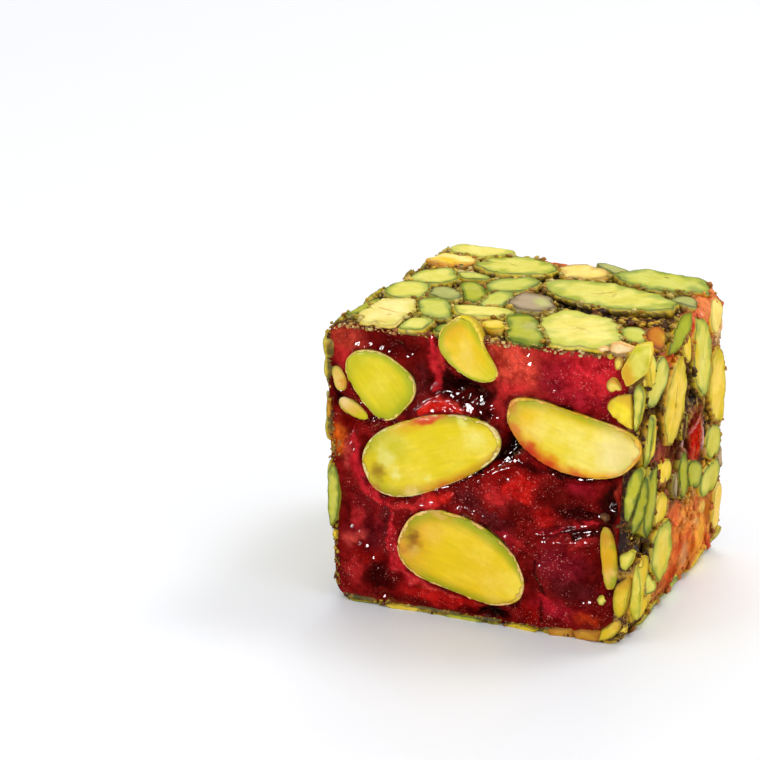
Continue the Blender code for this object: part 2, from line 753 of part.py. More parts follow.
for thing in list(toppings.objects) + list(pockets.objects) + list(tools.objects):
    bpy.data.objects.remove(thing, do_unlink=True)

finish(jelly, jelly_surface)
finish(coat, coat_surface)
for thing in kernels:
    finish(thing, kernel_surface)
for thing in slices:
    finish(thing, slice_surface)
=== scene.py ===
"""The looks of a cube cut from a log of pomegranate and pistachio Turkish delight.

Every piece is worked out in a square block of millimetres, with its front at -Y, its
right at +X and its floor at z = 0, and is then leaned into the real, crooked cube.
"""

import math
import random

import bpy
import numpy as np
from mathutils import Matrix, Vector


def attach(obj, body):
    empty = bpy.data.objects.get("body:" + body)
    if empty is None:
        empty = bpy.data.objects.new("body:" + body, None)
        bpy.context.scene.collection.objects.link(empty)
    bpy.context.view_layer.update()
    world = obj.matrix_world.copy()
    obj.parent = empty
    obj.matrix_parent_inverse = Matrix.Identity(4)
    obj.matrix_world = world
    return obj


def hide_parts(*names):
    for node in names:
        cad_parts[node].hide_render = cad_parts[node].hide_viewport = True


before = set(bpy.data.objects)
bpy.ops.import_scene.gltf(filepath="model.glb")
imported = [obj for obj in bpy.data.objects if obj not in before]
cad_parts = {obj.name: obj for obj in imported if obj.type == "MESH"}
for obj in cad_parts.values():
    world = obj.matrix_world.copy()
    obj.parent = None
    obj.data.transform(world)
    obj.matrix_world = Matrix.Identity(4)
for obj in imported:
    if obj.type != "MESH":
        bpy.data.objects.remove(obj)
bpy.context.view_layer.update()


# The jelly: dark red pomegranate jelly, boiled with starch until it sets firm and glossy.
# The knife drags it, so the cut front and back are wet hollows, folds and soft lobes in
# many reds.  It is one closed body whose two cuts are dense grids.

# A millimetre in metres, and the square block's size in mm.
MM = 0.001
BLOCK = np.array((40.0, 35.0, 37.0))

# How far the block's corners, by (right, back, top) as 0 or 1, are moved in x and y.
CORNER_SHIFTS = {
    (0, 0, 0): (0.85, -1.55), (0, 0, 1): (-0.25, -1.65),
    (0, 1, 0): (0.15, 1.15), (0, 1, 1): (-0.65, 1.65),
    (1, 0, 0): (-0.55, -0.35), (1, 0, 1): (0.55, -0.15),
    (1, 1, 0): (0.65, -0.65), (1, 1, 1): (0.65, -3.55),
}

# The section's left, right, bottom and top: along the bar, and at the two cuts.
JELLY_SIDES = (-18.1, 17.5, 1.3, 35.0)
CUT_SIDES = (-19.72, 17.8, 0.3, 36.25)
JELLY_RADIUS = 1.5
CUT_RADIUS = JELLY_RADIUS + 1.0
CUT_COLUMNS = 202
CUT_ROWS = 196
SIDE_LEVELS = (-16.9, -15.6, -8.0, 0.0, 8.0, 15.6, 16.9)
SIDE_FLARE = 0.7
SEED = 7

# At a cut's rim the relief fades out and turns in; the jelly rises round a kernel and is
# sunk under it, and a thin line of painted shade, where the jelly meets the kernel, runs round it.  All in
# mm.
RIM_FADE = 0.8
RIM_TURN = 0.3
SEAT_RISE = 0.16
SEAT_DEPTH = 1.6
SHADE_LINE_OUT = 0.1
SHADE_LINE_WIDTH = 0.28

# Hollows and swells of the front cut: x, z, half width, half height, turn, height.
FRONT_RELIEF = (
    (-3.2, 29.6, 4.4, 1.9, -5, -1.3),
    (4.3, 24.3, 1.7, 3.6, -38, -1.5),
    (16.4, 17.6, 1.3, 3.8, 0, -1.1),
    (12.0, 18.3, 3.6, 1.9, -5, -0.5),
    (3.6, 18.4, 3.8, 2.2, 12, 0.5),
    (11.2, 8.2, 4.2, 3.6, -8, 0.7),
    (11.0, 13.4, 4.4, 0.8, 14, -0.5),
    (1.6, 1.6, 2.2, 0.9, 0, -0.6),
    (-17.2, 22.6, 1.1, 2.8, -22, -0.6),
    (-15.4, 10.6, 2.2, 3.4, 8, -0.4),
    (-13.6, 4.2, 2.5, 2.2, 0, 0.5),
    (9.0, 33.2, 6.5, 2.2, -4, 0.35),
    (-11.0, 34.6, 3.4, 1.1, -6, -0.4),
)

# Where the front cut is torn into small folds: x, z, half width, half height, turn, the
# folds' length, width and direction, and their height.
FRONT_FOLDS = (
    (-3.0, 29.6, 4.4, 1.8, -5, 2.6, 1.5, 35, 0.40),
    (0.6, 28.3, 2.2, 2.4, 0, 2.0, 1.3, 60, 0.34),
    (4.2, 24.0, 1.2, 2.8, -38, 2.0, 1.0, 40, 0.15),
    (16.2, 17.8, 1.3, 3.4, 0, 2.2, 1.2, 75, 0.36),
    (3.8, 17.2, 3.0, 2.4, 14, 3.0, 0.9, -38, 0.20),
    (4.2, 14.6, 1.6, 1.4, -30, 1.6, 0.8, -40, 0.30),
    (11.2, 13.4, 4.6, 1.5, 8, 5.0, 1.2, 14, 0.28),
    (-15.4, 10.8, 2.4, 3.8, 6, 3.0, 0.8, 66, 0.24),
    (-17.6, 20.5, 1.3, 3.0, -8, 2.0, 0.8, 70, 0.30),
    (-10.4, 34.6, 3.4, 1.2, -4, 2.4, 0.8, -20, 0.20),
    (-6.4, 33.0, 1.0, 3.4, 8, 4.0, 0.8, 80, 0.22),
    (-4.0, 1.6, 6.5, 1.0, 0, 3.0, 0.8, 4, 0.18),
    (-12.6, 1.8, 3.6, 1.2, 0, 1.6, 0.8, 20, 0.30),
    (15.6, 3.0, 2.2, 1.2, 0, 1.6, 0.8, 20, 0.20),
)

# Soft ridges that the knife pushed up, and cracks: half width, height, and points x, z on the way.
FRONT_RIDGES = (
    (0.45, 0.34, ((-16.3, 20.2), (-15.8, 22.3), (-14.2, 24.0), (-11.8, 25.2))),
    (0.30, 0.24, ((-17.3, 19.6), (-16.9, 21.4), (-16.2, 22.9))),
    (0.50, 0.22, ((-16.5, 16.6), (-14.6, 14.5), (-11.0, 13.6), (-6.0, 14.6))),
    (0.40, 0.36, ((-0.6, 18.2), (1.0, 19.3), (3.0, 20.5), (5.6, 21.3))),
    (0.28, 0.22, ((2.6, 19.0), (4.2, 19.1), (5.4, 18.2))),
    (0.35, 0.30, ((-8.4, 26.4), (-6.4, 27.7), (-4.2, 27.9), (-2.4, 27.0))),
    (0.35, 0.26, ((-6.3, 36.0), (-5.9, 33.0), (-5.4, 30.6), (-6.4, 28.8))),
    (0.40, 0.26, ((9.0, 20.6), (12.0, 20.2), (15.2, 20.7))),
    (0.30, 0.30, ((15.7, 20.4), (15.5, 18.6), (15.9, 17.0))),
    (0.35, 0.26, ((8.0, 8.9), (8.3, 6.9), (9.8, 5.0), (12.6, 4.2), (15.6, 5.2))),
    (0.40, 0.28, ((-2.6, 14.6), (0.8, 13.7), (3.4, 11.6), (5.6, 10.0))),
    (0.35, 0.26, ((-11.7, 8.6), (-10.8, 5.9), (-8.0, 3.9), (-3.4, 2.7))),
    (0.30, 0.22, ((-15.4, 7.2), (-17.2, 8.4), (-17.0, 10.2))),
    (0.28, -0.30, ((8.3, 4.6), (8.4, 2.6), (8.1, 0.9))),
    (0.28, -0.26, ((1.3, 35.4), (2.3, 32.4), (2.4, 30.6))),
    (0.25, 0.20, ((6.0, 31.6), (8.4, 30.9), (10.6, 31.3), (12.4, 32.0), (14.0, 33.2))),
    (0.30, 0.22, ((7.4, 12.6), (10.4, 13.3), (13.6, 14.6), (15.4, 14.6))),
    (0.28, 0.20, ((9.8, 12.2), (12.6, 12.2), (14.8, 12.8))),
    (0.26, 0.20, ((1.2, 2.5), (3.6, 0.9), (5.6, 1.9))),
)

# Reds of the cuts, by name.
REDS = {
    "body": (128, 20, 19), "coral": (232, 84, 64), "rust": (188, 66, 44),
    "bright": (222, 42, 30), "red": (196, 28, 24), "rose": (206, 50, 50),
    "crimson": (208, 42, 52), "magenta": (160, 26, 42), "maroon": (104, 17, 14),
    "purple": (98, 26, 28), "plum": (128, 25, 36), "dark": (48, 8, 7), "bloody": (140, 15, 10),
    "black": (18, 3, 3), "amber": (214, 98, 24), "brown": (126, 18, 8), "glow": (240, 64, 26),
    "blush": (222, 84, 74), "ember": (184, 58, 20),
}

# Patches of the front cut: x, z, half width, half height, turn, colour, share, crispness.
FRONT_PATCHES = (
    (-17.4, 34.4, 2.4, 1.6, -8, "rust", 0.9, 1.5),
    (-16.0, 34.9, 1.8, 0.9, 8, "blush", 0.3, 1.2),
    (-17.6, 32.2, 1.4, 1.6, 0, "rose", 0.7, 1.5),
    (-10.8, 34.7, 3.8, 1.6, -8, "maroon", 0.9, 2.0),
    (-10.2, 34.2, 2.2, 0.8, -12, "dark", 0.7, 1.4),
    (-8.0, 32.4, 1.3, 2.8, 20, "maroon", 0.9, 1.8),
    (-7.4, 30.0, 0.8, 2.6, 5, "purple", 0.8, 2.0),
    (-2.9, 29.9, 4.6, 2.1, -4, "dark", 1.0, 3.0),
    (-1.8, 30.2, 3.0, 1.2, -4, "black", 0.9, 2.0),
    (0.8, 28.4, 1.9, 2.4, 0, "dark", 0.95, 2.6),
    (1.2, 28.0, 1.0, 1.6, 0, "black", 0.8, 2.0),
    (-2.6, 29.2, 1.4, 0.5, 16, "maroon", 0.6, 1.4),
    (0.4, 28.2, 0.5, 1.2, -20, "maroon", 0.5, 1.4),
    (2.3, 29.4, 1.0, 2.6, -8, "rose", 0.7, 1.6),
    (4.2, 33.6, 3.3, 3.0, -10, "coral", 1.0, 1.5),
    (2.6, 34.4, 1.0, 2.0, 20, "rust", 0.8, 1.6),
    (9.6, 33.0, 2.8, 2.9, 0, "magenta", 0.9, 1.2),
    (9.2, 31.9, 1.5, 1.2, 0, "plum", 0.6, 1.2),
    (13.4, 33.4, 3.4, 3.4, 0, "crimson", 1.0, 1.6),
    (9.4, 35.6, 4.0, 0.6, 0, "rose", 0.7, 1.5),
    (15.6, 35.0, 1.0, 1.2, 0, "crimson", 0.9, 1.5),
    (3.8, 30.8, 2.4, 0.8, 16, "rose", 0.9, 1.6),
    (12.8, 30.4, 3.8, 0.8, -10, "magenta", 0.7, 1.5),
    (11.0, 28.9, 3.4, 0.45, -14, "dark", 0.8, 1.6),
    (4.3, 24.0, 1.5, 3.0, -40, "black", 1.0, 3.0),
    (2.9, 25.0, 0.6, 2.0, -20, "bloody", 0.5, 1.4),
    (1.2, 20.8, 3.0, 0.75, 30, "black", 1.0, 2.4),
    (6.4, 21.2, 1.6, 0.6, -10, "black", 0.8, 1.8),
    (11.4, 21.0, 3.6, 0.55, -3, "black", 0.9, 2.0),
    (4.3, 18.6, 3.2, 2.1, 6, "red", 0.85, 3.0),
    (4.0, 20.3, 2.4, 0.7, 12, "bloody", 0.8, 1.6),
    (5.8, 18.0, 1.5, 1.2, 10, "bright", 0.55, 1.6),
    (3.0, 19.2, 1.4, 0.5, 20, "dark", 0.6, 1.6),
    (2.3, 16.8, 1.9, 1.3, -20, "rose", 0.9, 1.7),
    (4.6, 15.2, 1.8, 1.1, -20, "maroon", 0.9, 1.6),
    (3.6, 13.6, 1.2, 0.9, -30, "dark", 0.7, 1.5),
    (-1.6, 16.0, 1.9, 1.5, -38, "purple", 1.0, 2.0),
    (1.8, 13.4, 2.9, 0.9, -36, "purple", 1.0, 2.2),
    (4.9, 11.2, 1.3, 0.8, -30, "rose", 0.6, 1.5),
    (6.2, 9.4, 0.5, 1.6, 30, "maroon", 0.8, 1.6),
    (10.8, 17.9, 3.8, 2.4, 0, "maroon", 1.0, 2.4),
    (12.6, 19.2, 1.9, 1.0, 0, "magenta", 0.8, 1.4),
    (12.8, 16.0, 3.6, 1.0, -5, "black", 0.8, 2.0),
    (16.4, 17.8, 1.1, 3.6, 0, "dark", 1.0, 2.6),
    (17.4, 19.6, 0.5, 2.2, 0, "rust", 0.5, 1.6),
    (8.2, 14.4, 1.3, 1.4, 0, "red", 0.6, 1.4),
    (10.4, 13.4, 3.2, 0.7, 10, "plum", 0.9, 1.6),
    (13.4, 13.8, 3.0, 0.8, 12, "dark", 0.9, 1.6),
    (13.6, 12.6, 2.4, 0.5, 10, "rose", 0.5, 1.5),
    (15.2, 11.0, 0.9, 2.4, 0, "maroon", 0.8, 1.6),
    (10.9, 9.2, 3.6, 2.6, -8, "plum", 1.0, 3.0),
    (12.6, 6.3, 3.6, 1.6, -6, "purple", 1.0, 2.0),
    (14.6, 8.6, 1.6, 2.0, 0, "dark", 0.5, 1.3),
    (7.0, 6.4, 1.0, 1.8, 0, "maroon", 0.9, 1.8),
    (10.4, 3.4, 3.4, 1.2, -10, "magenta", 1.0, 2.2),
    (9.0, 4.2, 1.2, 1.0, -30, "crimson", 0.7, 1.5),
    (14.6, 2.6, 2.4, 0.8, -4, "ember", 0.9, 1.6),
    (16.8, 3.6, 1.2, 1.6, 0, "maroon", 0.9, 1.6),
    (7.0, 2.4, 1.2, 1.8, 0, "bloody", 0.9, 2.0),
    (-18.8, 21.2, 1.3, 1.9, 0, "amber", 0.95, 1.8),
    (-17.6, 24.6, 2.2, 1.4, -16, "brown", 1.0, 1.8),
    (-16.4, 23.6, 1.0, 0.8, -16, "bloody", 0.8, 1.4),
    (-17.4, 19.4, 0.9, 1.9, 0, "blush", 0.75, 1.6),
    (-18.6, 27.2, 1.0, 1.8, 0, "dark", 0.8, 1.6),
    (-14.8, 26.0, 1.6, 0.8, -30, "bloody", 0.8, 1.6),
    (-13.2, 25.2, 1.6, 0.5, 20, "black", 0.8, 1.6),
    (-8.8, 26.2, 1.3, 0.6, 40, "purple", 0.8, 1.6),
    (-15.4, 10.8, 2.4, 3.6, 6, "plum", 0.9, 2.0),
    (-15.0, 12.2, 1.2, 2.2, 14, "maroon", 0.8, 1.5),
    (-17.6, 12.4, 0.8, 2.6, 6, "maroon", 0.8, 1.5),
    (-12.6, 10.8, 0.6, 3.4, 0, "purple", 0.9, 2.0),
    (-16.8, 8.6, 1.6, 0.9, 20, "blush", 0.7, 1.8),
    (-16.4, 11.4, 0.8, 1.6, 10, "rose", 0.6, 1.6),
    (-14.4, 9.0, 1.0, 1.6, 10, "dark", 0.5, 1.6),
    (-15.4, 6.5, 2.0, 0.9, 0, "bloody", 0.8, 1.6),
    (-16.8, 4.4, 1.4, 1.6, 0, "rose", 0.6, 1.5),
    (-13.3, 4.0, 2.1, 2.1, 0, "black", 0.8, 2.4),
    (-12.6, 1.6, 2.6, 0.7, 0, "maroon", 0.9, 1.6),
    (-4.6, 2.4, 5.6, 1.2, -6, "red", 0.85, 1.8),
    (-8.6, 1.2, 2.6, 0.6, 0, "maroon", 0.9, 1.6),
    (2.2, 1.6, 2.6, 0.7, 6, "black", 1.0, 2.4),
    (-1.4, 1.3, 1.6, 0.6, 0, "dark", 0.7, 1.5),
    (-19.2, 30.0, 0.6, 3.6, 0, "maroon", 0.9, 1.6),
)

# Bands that follow a way: colour, share, half width, and points x, z.
FRONT_BANDS = (
    ("crimson", 0.9, 0.55, ((-6.3, 36.2), (-6.1, 33.6), (-5.5, 31.0), (-6.2, 28.9))),
    ("rose", 0.8, 0.4, ((-5.2, 36.0), (-5.3, 33.6), (-4.6, 31.8))),
    ("bright", 1.0, 0.75, ((-8.2, 26.5), (-6.4, 27.4), (-4.4, 27.6), (-2.6, 26.9))),
    # Painted highlight: a thin pale line along the crest of the bright red strip.
    ("blush", 0.5, 0.18, ((-8.0, 26.9), (-6.2, 27.9), (-4.4, 28.1), (-2.6, 27.3))),
    ("crimson", 0.9, 0.8, ((-16.7, 23.0), (-16.2, 20.0), (-16.0, 17.4), (-14.2, 14.8), (-11.0, 13.7))),
    ("rose", 0.9, 0.6, ((-12.0, 13.9), (-8.6, 13.9), (-5.4, 15.2), (-3.4, 16.2))),
    ("bright", 0.6, 0.8, ((-8.2, 16.0), (-6.0, 15.6), (-3.6, 15.4))),
    ("crimson", 0.85, 0.7, ((-11.7, 12.6), (-11.6, 9.0), (-11.2, 6.6), (-9.6, 4.6), (-6.2, 3.7))),
    # Painted highlight: a thin pale line along the crimson band beside the lower kernel.
    ("blush", 0.5, 0.22, ((-11.0, 5.9), (-9.0, 4.3), (-5.6, 3.4), (-2.6, 3.0))),
    ("bloody", 0.8, 0.5, ((0.0, 19.4), (2.0, 20.6), (5.2, 21.6))),
    ("dark", 0.8, 0.35, ((7.4, 9.6), (7.7, 7.4), (9.2, 5.2))),
    ("crimson", 0.7, 0.22, ((7.2, 12.5), (10.4, 13.6), (13.4, 15.0), (15.2, 15.0))),
    ("rose", 0.6, 0.16, ((9.6, 12.3), (12.4, 12.9), (14.6, 13.9))),
    ("dark", 0.7, 0.25, ((8.0, 13.2), (11.0, 13.0), (14.0, 13.4))),
    ("black", 0.8, 0.25, ((-2.6, 13.9), (0.6, 12.9), (3.4, 10.8), (5.4, 8.6))),
    ("dark", 0.8, 0.22, ((8.2, 4.4), (8.3, 2.6), (8.0, 1.0))),
    ("magenta", 0.7, 0.35, ((2.6, 12.9), (3.8, 11.6), (4.6, 10.4))),
    ("purple", 0.8, 0.3, ((-7.6, 31.8), (-7.6, 29.4), (-8.4, 27.2))),
)

# The back cut's hollows are drawn by chance: ranges of x, z, half width, half height and
# turn, and the heights to choose from.  Each has folds and a red of its own.
BACK_HOLLOWS = 14
BACK_RANGES = ((-17, 17), (3, 34), (1.5, 4.5), (1.5, 3.5), (0, 180))
BACK_HEIGHTS = (-1.1, -0.6, 0.5)
BACK_FOLD = (2.4, 0.9)
BACK_FOLD_HEIGHT = 0.16
BACK_REDS = ("dark", "red", "plum", "maroon", "crimson", "black", "rose") * 2
BACK_BAND_REDS = ("crimson", "rose", "bright", "magenta", "red")


def crooked(points):
    """Turns block millimetres into metres in the leaning cube.

    Each corner's sideways shift is weighted by the product of the point's three shares
    of the way to that corner, and the eight are added.
    """
    share = points / BLOCK + (0.5, 0.5, 0.0)
    moved = np.array(points, float)
    for corner, shift in CORNER_SHIFTS.items():
        weight = np.prod(np.where(corner, share, 1 - share), axis=1)
        moved[:, :2] += weight[:, None] * shift
    return moved * MM


def linear(colours):
    """Screen colours from 0 to 255 as the linear light that a shader works in."""
    screen = np.asarray(colours, float) / 255
    return np.where(screen < 0.04045, screen / 12.92, ((screen + 0.055) / 1.055) ** 2.4)


def new_piece(name, points, faces, slot, paint=None, **shares):
    """A closed mesh at the origin that rides on the cube.

    points are block millimetres; paint is a colour and each share a number for every point.
    The faces are turned round if the volume that they enclose comes out negative.
    """
    place = crooked(points)
    place[:, 2] = np.maximum(place[:, 2], 0)
    mesh = bpy.data.meshes.new(name)
    mesh.from_pydata(place.tolist(), [], faces)
    mesh.calc_loop_triangles()
    corners = np.zeros(len(mesh.loop_triangles) * 3, np.int32)
    mesh.loop_triangles.foreach_get("vertices", corners)
    a, b, c = place[corners.reshape(-1, 3)].transpose(1, 0, 2)
    if np.einsum("ij,ij->i", a, np.cross(b, c)).sum() < 0:
        mesh.flip_normals()
    if paint is not None:
        layer = mesh.attributes.new("paint", "FLOAT_COLOR", "POINT")
        layer.data.foreach_set("color", np.c_[paint, np.ones(len(paint))].astype(np.float32).ravel())
    for share, values in shares.items():
        layer = mesh.attributes.new(share, "FLOAT", "POINT")
        layer.data.foreach_set("value", np.asarray(values, np.float32).ravel())
    mesh.shade_smooth()
    thing = bpy.data.objects.new(name, mesh)
    bpy.context.scene.collection.objects.link(thing)
    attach(thing, "root")
    return thing


def waves(points, size, seed, count=14):
    """Smooth noise of about -1 to 1: sines in random directions, with wavelengths near size, added up."""
    rng = np.random.default_rng(seed)
    ways = rng.normal(size=(count, points.shape[1]))
    ways *= 2 * np.pi / (np.linalg.norm(ways, axis=1) * size * rng.uniform(0.7, 1.5, count))[:, None]
    return np.sin(points @ ways.T + rng.uniform(0, 2 * np.pi, count)).sum(1) / math.sqrt(count)


def smooth_step(value, low, high):
    """Rises from 0 at low to 1 at high along a cubic."""
    share = np.clip((value - low) / (high - low), 0, 1)
    return share * share * (3 - 2 * share)


def turned(a, b, degrees):
    """Coordinates along and across a direction: the plane's rotation by the negative angle."""
    c, s = math.cos(math.radians(degrees)), math.sin(math.radians(degrees))
    return a * c + b * s, b * c - a * s


def oval_share(a, b, centre_a, centre_b, half_a, half_b, turn, edge=1.0):
    """A soft oval patch: e to the minus (distance squared in half widths) to the power edge."""
    along, across = turned(a - centre_a, b - centre_b, turn)
    return np.exp(-((along / half_a) ** 2 + (across / half_b) ** 2) ** edge)


def mixed(first, second, share):
    """Colours mixed point by point."""
    return first * (1 - share[:, None]) + second * share[:, None]


def cut_relief(x, z, hollows):
    """Height of a cut: its soft oval hollows and swells, added up."""
    return sum(height * oval_share(x, z, *place) for *place, height in hollows)


def cut_ridges(x, z, ridges):
    """Height of the pushed-up ridges and cracks: their bands' covers times their heights, added up."""
    return sum(height * way_share(x, z, path, half_width) for half_width, height, path in ridges)


def cut_folds(x, z, folds):
    """Height of the torn folds: in each patch, 0.6 minus the root of long waves squared plus a little."""
    total = np.zeros_like(x)
    for number, (*place, length, width, direction, height) in enumerate(folds):
        along, across = turned(x, z, direction)
        ripple = waves(np.stack([along / length, across / width], 1), 1.6, 40 + number)
        total += height * (0.6 - np.sqrt(ripple ** 2 + 0.06)) * oval_share(x, z, *place, 2.0)
    return total


def way_share(x, z, path, half_width):
    """Cover of a band: e to the minus fourth power of the distance to the way, in half widths.

    The half width shrinks towards both ends as the root of the share of the way times what is left of it.
    """
    lengths = np.hypot(*np.diff(np.array(path), axis=0).T)
    nearest, reached, start = np.full(x.shape, 1e9), np.zeros_like(x), 0.0
    for (x0, z0), (x1, z1), length in zip(path, path[1:], lengths):
        share = np.clip(((x - x0) * (x1 - x0) + (z - z0) * (z1 - z0)) / length ** 2, 0, 1)
        away = np.hypot(x - x0 - share * (x1 - x0), z - z0 - share * (z1 - z0))
        reached = np.where(away < nearest, (start + share * length) / lengths.sum(), reached)
        nearest = np.minimum(nearest, away)
        start += length
    width = half_width * (0.25 + 1.5 * np.sqrt(reached * (1 - reached)))
    return np.exp(-(nearest / width) ** 4)


def red_paint(x, z, patches, bands):
    """Colour of a cut: soft patches and then bands, laid over each other in turn at wavering places."""
    place = np.stack([x, z], 1)
    x, z = (value + 0.30 * waves(place, 2.6, seed) + 0.10 * waves(place, 0.9, seed + 2)
            for value, seed in ((x, 3), (z, 4)))
    paint = np.tile(linear(REDS["body"]), (len(x), 1))
    for *patch, colour, share, crispness in patches:
        paint = mixed(paint, linear(REDS[colour]), share * oval_share(x, z, *patch, crispness))
    for colour, share, half_width, path in bands:
        paint = mixed(paint, linear(REDS[colour]), share * way_share(x, z, path, half_width))
    return paint


def section_grid(sides, radius):
    """A grid over the jelly's section: a square grid whose corners are pulled onto arcs."""
    left, right, bottom, top = sides
    half_x, half_z = (right - left) / 2, (top - bottom) / 2
    u, v = np.meshgrid(np.linspace(-1, 1, CUT_COLUMNS), np.linspace(-1, 1, CUT_ROWS))
    x, z = (u * half_x).ravel(), (v * half_z).ravel()
    past_x = np.maximum(np.abs(x) - half_x + radius, 0)
    past_z = np.maximum(np.abs(z) - half_z + radius, 0)
    reach = np.hypot(past_x, past_z)
    pull = np.where(reach > 0, np.maximum(past_x, past_z) / np.maximum(reach, 1e-9), 1)
    x -= np.sign(x) * past_x * (1 - pull)
    z -= np.sign(z) * past_z * (1 - pull)
    rim = np.minimum(half_x - np.abs(x), half_z - np.abs(z))
    return x + (left + right) / 2, z + (bottom + top) / 2, rim


def torn_share(x, z, folds, hollows):
    """How torn a cut is: the widest cover of its folds and deep hollows, which are patches grown a little."""
    covers = [oval_share(x, z, a, b, half_a * 1.25, half_b * 1.25, turn, 2.0) * min(1, height * 2)
              for a, b, half_a, half_b, turn, length, width, direction, height in folds]
    covers += [oval_share(x, z, a, b, half_a * 1.2, half_b * 1.2, turn, 2.0) * min(1, -height)
               for a, b, half_a, half_b, turn, height in hollows if height < 0]
    return np.max(covers, axis=0)


def rim_loop():
    """Numbers of the section grid's points round its rim, in order."""
    grid = np.arange(CUT_COLUMNS * CUT_ROWS).reshape(CUT_ROWS, CUT_COLUMNS)
    return np.concatenate([grid[0, :-1], grid[:-1, -1], grid[-1, :0:-1], grid[:0:-1, 0]])


# Kernels cut through at the front, and at the back: x, z, half length, half width, turn,
# squareness, how much wider the right end is, and how far the middle bends up.
FRONT_KERNELS = {
    "kernel_top_left": (-13.2, 29.35, 4.6, 3.5, -43, 2.6, 0.25, 0.45),
    "kernel_top_centre": (-1.1, 34.9, 4.3, 2.5, -51, 2.8, -0.30, -0.8),
    "kernel_middle_left": (-6.3, 20.95, 9.4, 4.6, 22.5, 2.3, -0.16, 0.4),
    "kernel_middle_right": (11.6, 26.4, 8.4, 3.9, -13, 2.3, 0.04, -1.4),
    "kernel_lower_centre": (-2.3, 7.4, 8.7, 5.0, -17, 2.3, -0.13, 1.0),
}
FRONT_CHIPS = {
    "chip_upper_left": (-18.2, 29.3, 1.6, 0.85, -76, 2.3, 0.1, 0.15),
    "chip_lower_left": (-16.3, 25.7, 2.1, 0.9, -27, 2.3, -0.2, -0.1),
    "chip_upper_right": (16.7, 30.5, 1.5, 1.1, 25, 2.6, 0.1, 0.0),
    "chip_lower_right": (16.6, 11.0, 4.0, 1.0, -82, 2.3, 0.0, 0.2),
}
BACK_KERNELS = {
    "kernel_back_top_right": (9.4, 28.4, 8.5, 4.3, 16, 2.3, 0.1, 0.5),
    "kernel_back_top_left": (-9.3, 28.6, 7.2, 4.0, -32, 2.4, -0.15, 0.6),
    "kernel_back_middle": (-2.4, 17.0, 8.8, 4.2, 9, 2.3, 0.12, -0.5),
    "kernel_back_right": (11.9, 13.0, 6.2, 4.0, 62, 2.4, 0.15, 0.4),
    "kernel_back_lower": (-8.6, 6.9, 7.4, 3.7, -10, 2.3, -0.1, 0.5),
}


def kernel_rim(x, z, sizes):
    """A place's share of the way from a kernel's middle to its outline: its unbent, even superellipse."""
    centre_x, centre_z, half_length, half_width, turn, squareness, egg, bend = sizes
    along, across = turned(x - centre_x, z - centre_z, turn)
    u = along / half_length
    v = (across - bend * (1 - u * u)) / half_width / np.maximum(1 + egg * u, 0.2)
    return (np.abs(u) ** squareness + np.abs(v) ** squareness) ** (1 / squareness)


def cut_height(x, z, rim, hollows, folds, ridges, kernels, seed):
    """Height of a cut over the knife's plane.

    Hollows, folds, ridges and fine ripples fade at the rim, which turns in.  Next to a kernel
    the jelly rises a little, and under it the jelly is sunk out of its way.
    """
    place = np.stack([x, z], 1)
    soft = 1 - np.exp(-np.maximum(rim, 0) / RIM_FADE)
    height = cut_relief(x, z, hollows) + cut_folds(x, z, folds) + cut_ridges(x, z, ridges)
    rough = 0.5 + 0.5 * smooth_step(waves(place, 4.5, seed + 2), -0.6, 0.9)
    height += 0.08 * waves(place, 3.1, seed) + rough * 0.05 * waves(place, 1.0, seed + 1, 24)
    height += rough * 0.012 * waves(place, 0.5, seed + 3, 24)
    height = height * soft - RIM_TURN * (1 - soft)
    for sizes in kernels:
        out = (kernel_rim(x, z, sizes) - 1) * sizes[3]
        height = height + SEAT_RISE * np.exp(-((out - 0.25) / 0.45) ** 2)
        height -= SEAT_DEPTH * smooth_step(-out, 0.1, 0.7)
    return height


layout = random.Random(SEED)
back_hollows = [(*(layout.uniform(*span) for span in BACK_RANGES), layout.choice(BACK_HEIGHTS))
                for _ in range(BACK_HOLLOWS)]
back_folds = [(*place, turn, *BACK_FOLD, turn + 30, BACK_FOLD_HEIGHT)
              for *place, turn, height in back_hollows]
back_patches = [(x, z, half_x * 1.3, half_z * 1.3, turn, colour, 0.9, 2.0)
                for (x, z, half_x, half_z, turn, height), colour in zip(back_hollows, BACK_REDS)]
back_ridges, back_bands = [], []
for (x, z, half_length, half_width, turn, *shape), colour in zip(BACK_KERNELS.values(), BACK_BAND_REDS):
    ways = [turned(u * half_length, v * half_width, -turn) for u, v in ((-0.9, 0.9), (0, 1.2), (1, 0.6))]
    path = [(x + along, z + across) for along, across in ways]
    back_ridges.append((0.4, 0.32, path))
    back_bands.append((colour, 0.9, 0.7, path))

cuts = []
for facing, hollows, folds, ridges, patches, bands, kernels in (
        (-1, FRONT_RELIEF, FRONT_FOLDS, FRONT_RIDGES, FRONT_PATCHES, FRONT_BANDS,
         [*FRONT_KERNELS.values(), *FRONT_CHIPS.values()]),
        (1, back_hollows, back_folds, back_ridges, back_patches, back_bands, list(BACK_KERNELS.values()))):
    x, z, rim = section_grid(CUT_SIDES, CUT_RADIUS)
    height = cut_height(x, z, rim, hollows, folds, ridges, kernels, 20 + facing)
    paint = red_paint(x, z, patches, bands) ** 1.08
    # Painted shade: the jelly is darkened in a thin, patchy line just outside each kernel's outline, where it
    # meets the kernel.
    for sizes in kernels:
        out = np.abs((kernel_rim(x, z, sizes) - 1) * sizes[3] - SHADE_LINE_OUT)
        patchy = 0.35 + 0.3 * waves(np.stack([x, z], 1), 1.8, 33)
        paint *= 1 - (np.clip(patchy, 0, 0.8) * np.exp(-(out / SHADE_LINE_WIDTH) ** 2))[:, None]
    points = np.stack([x, facing * (BLOCK[1] / 2 + height), z], 1)
    cuts.append((points, paint, torn_share(x, z, folds, hollows)))

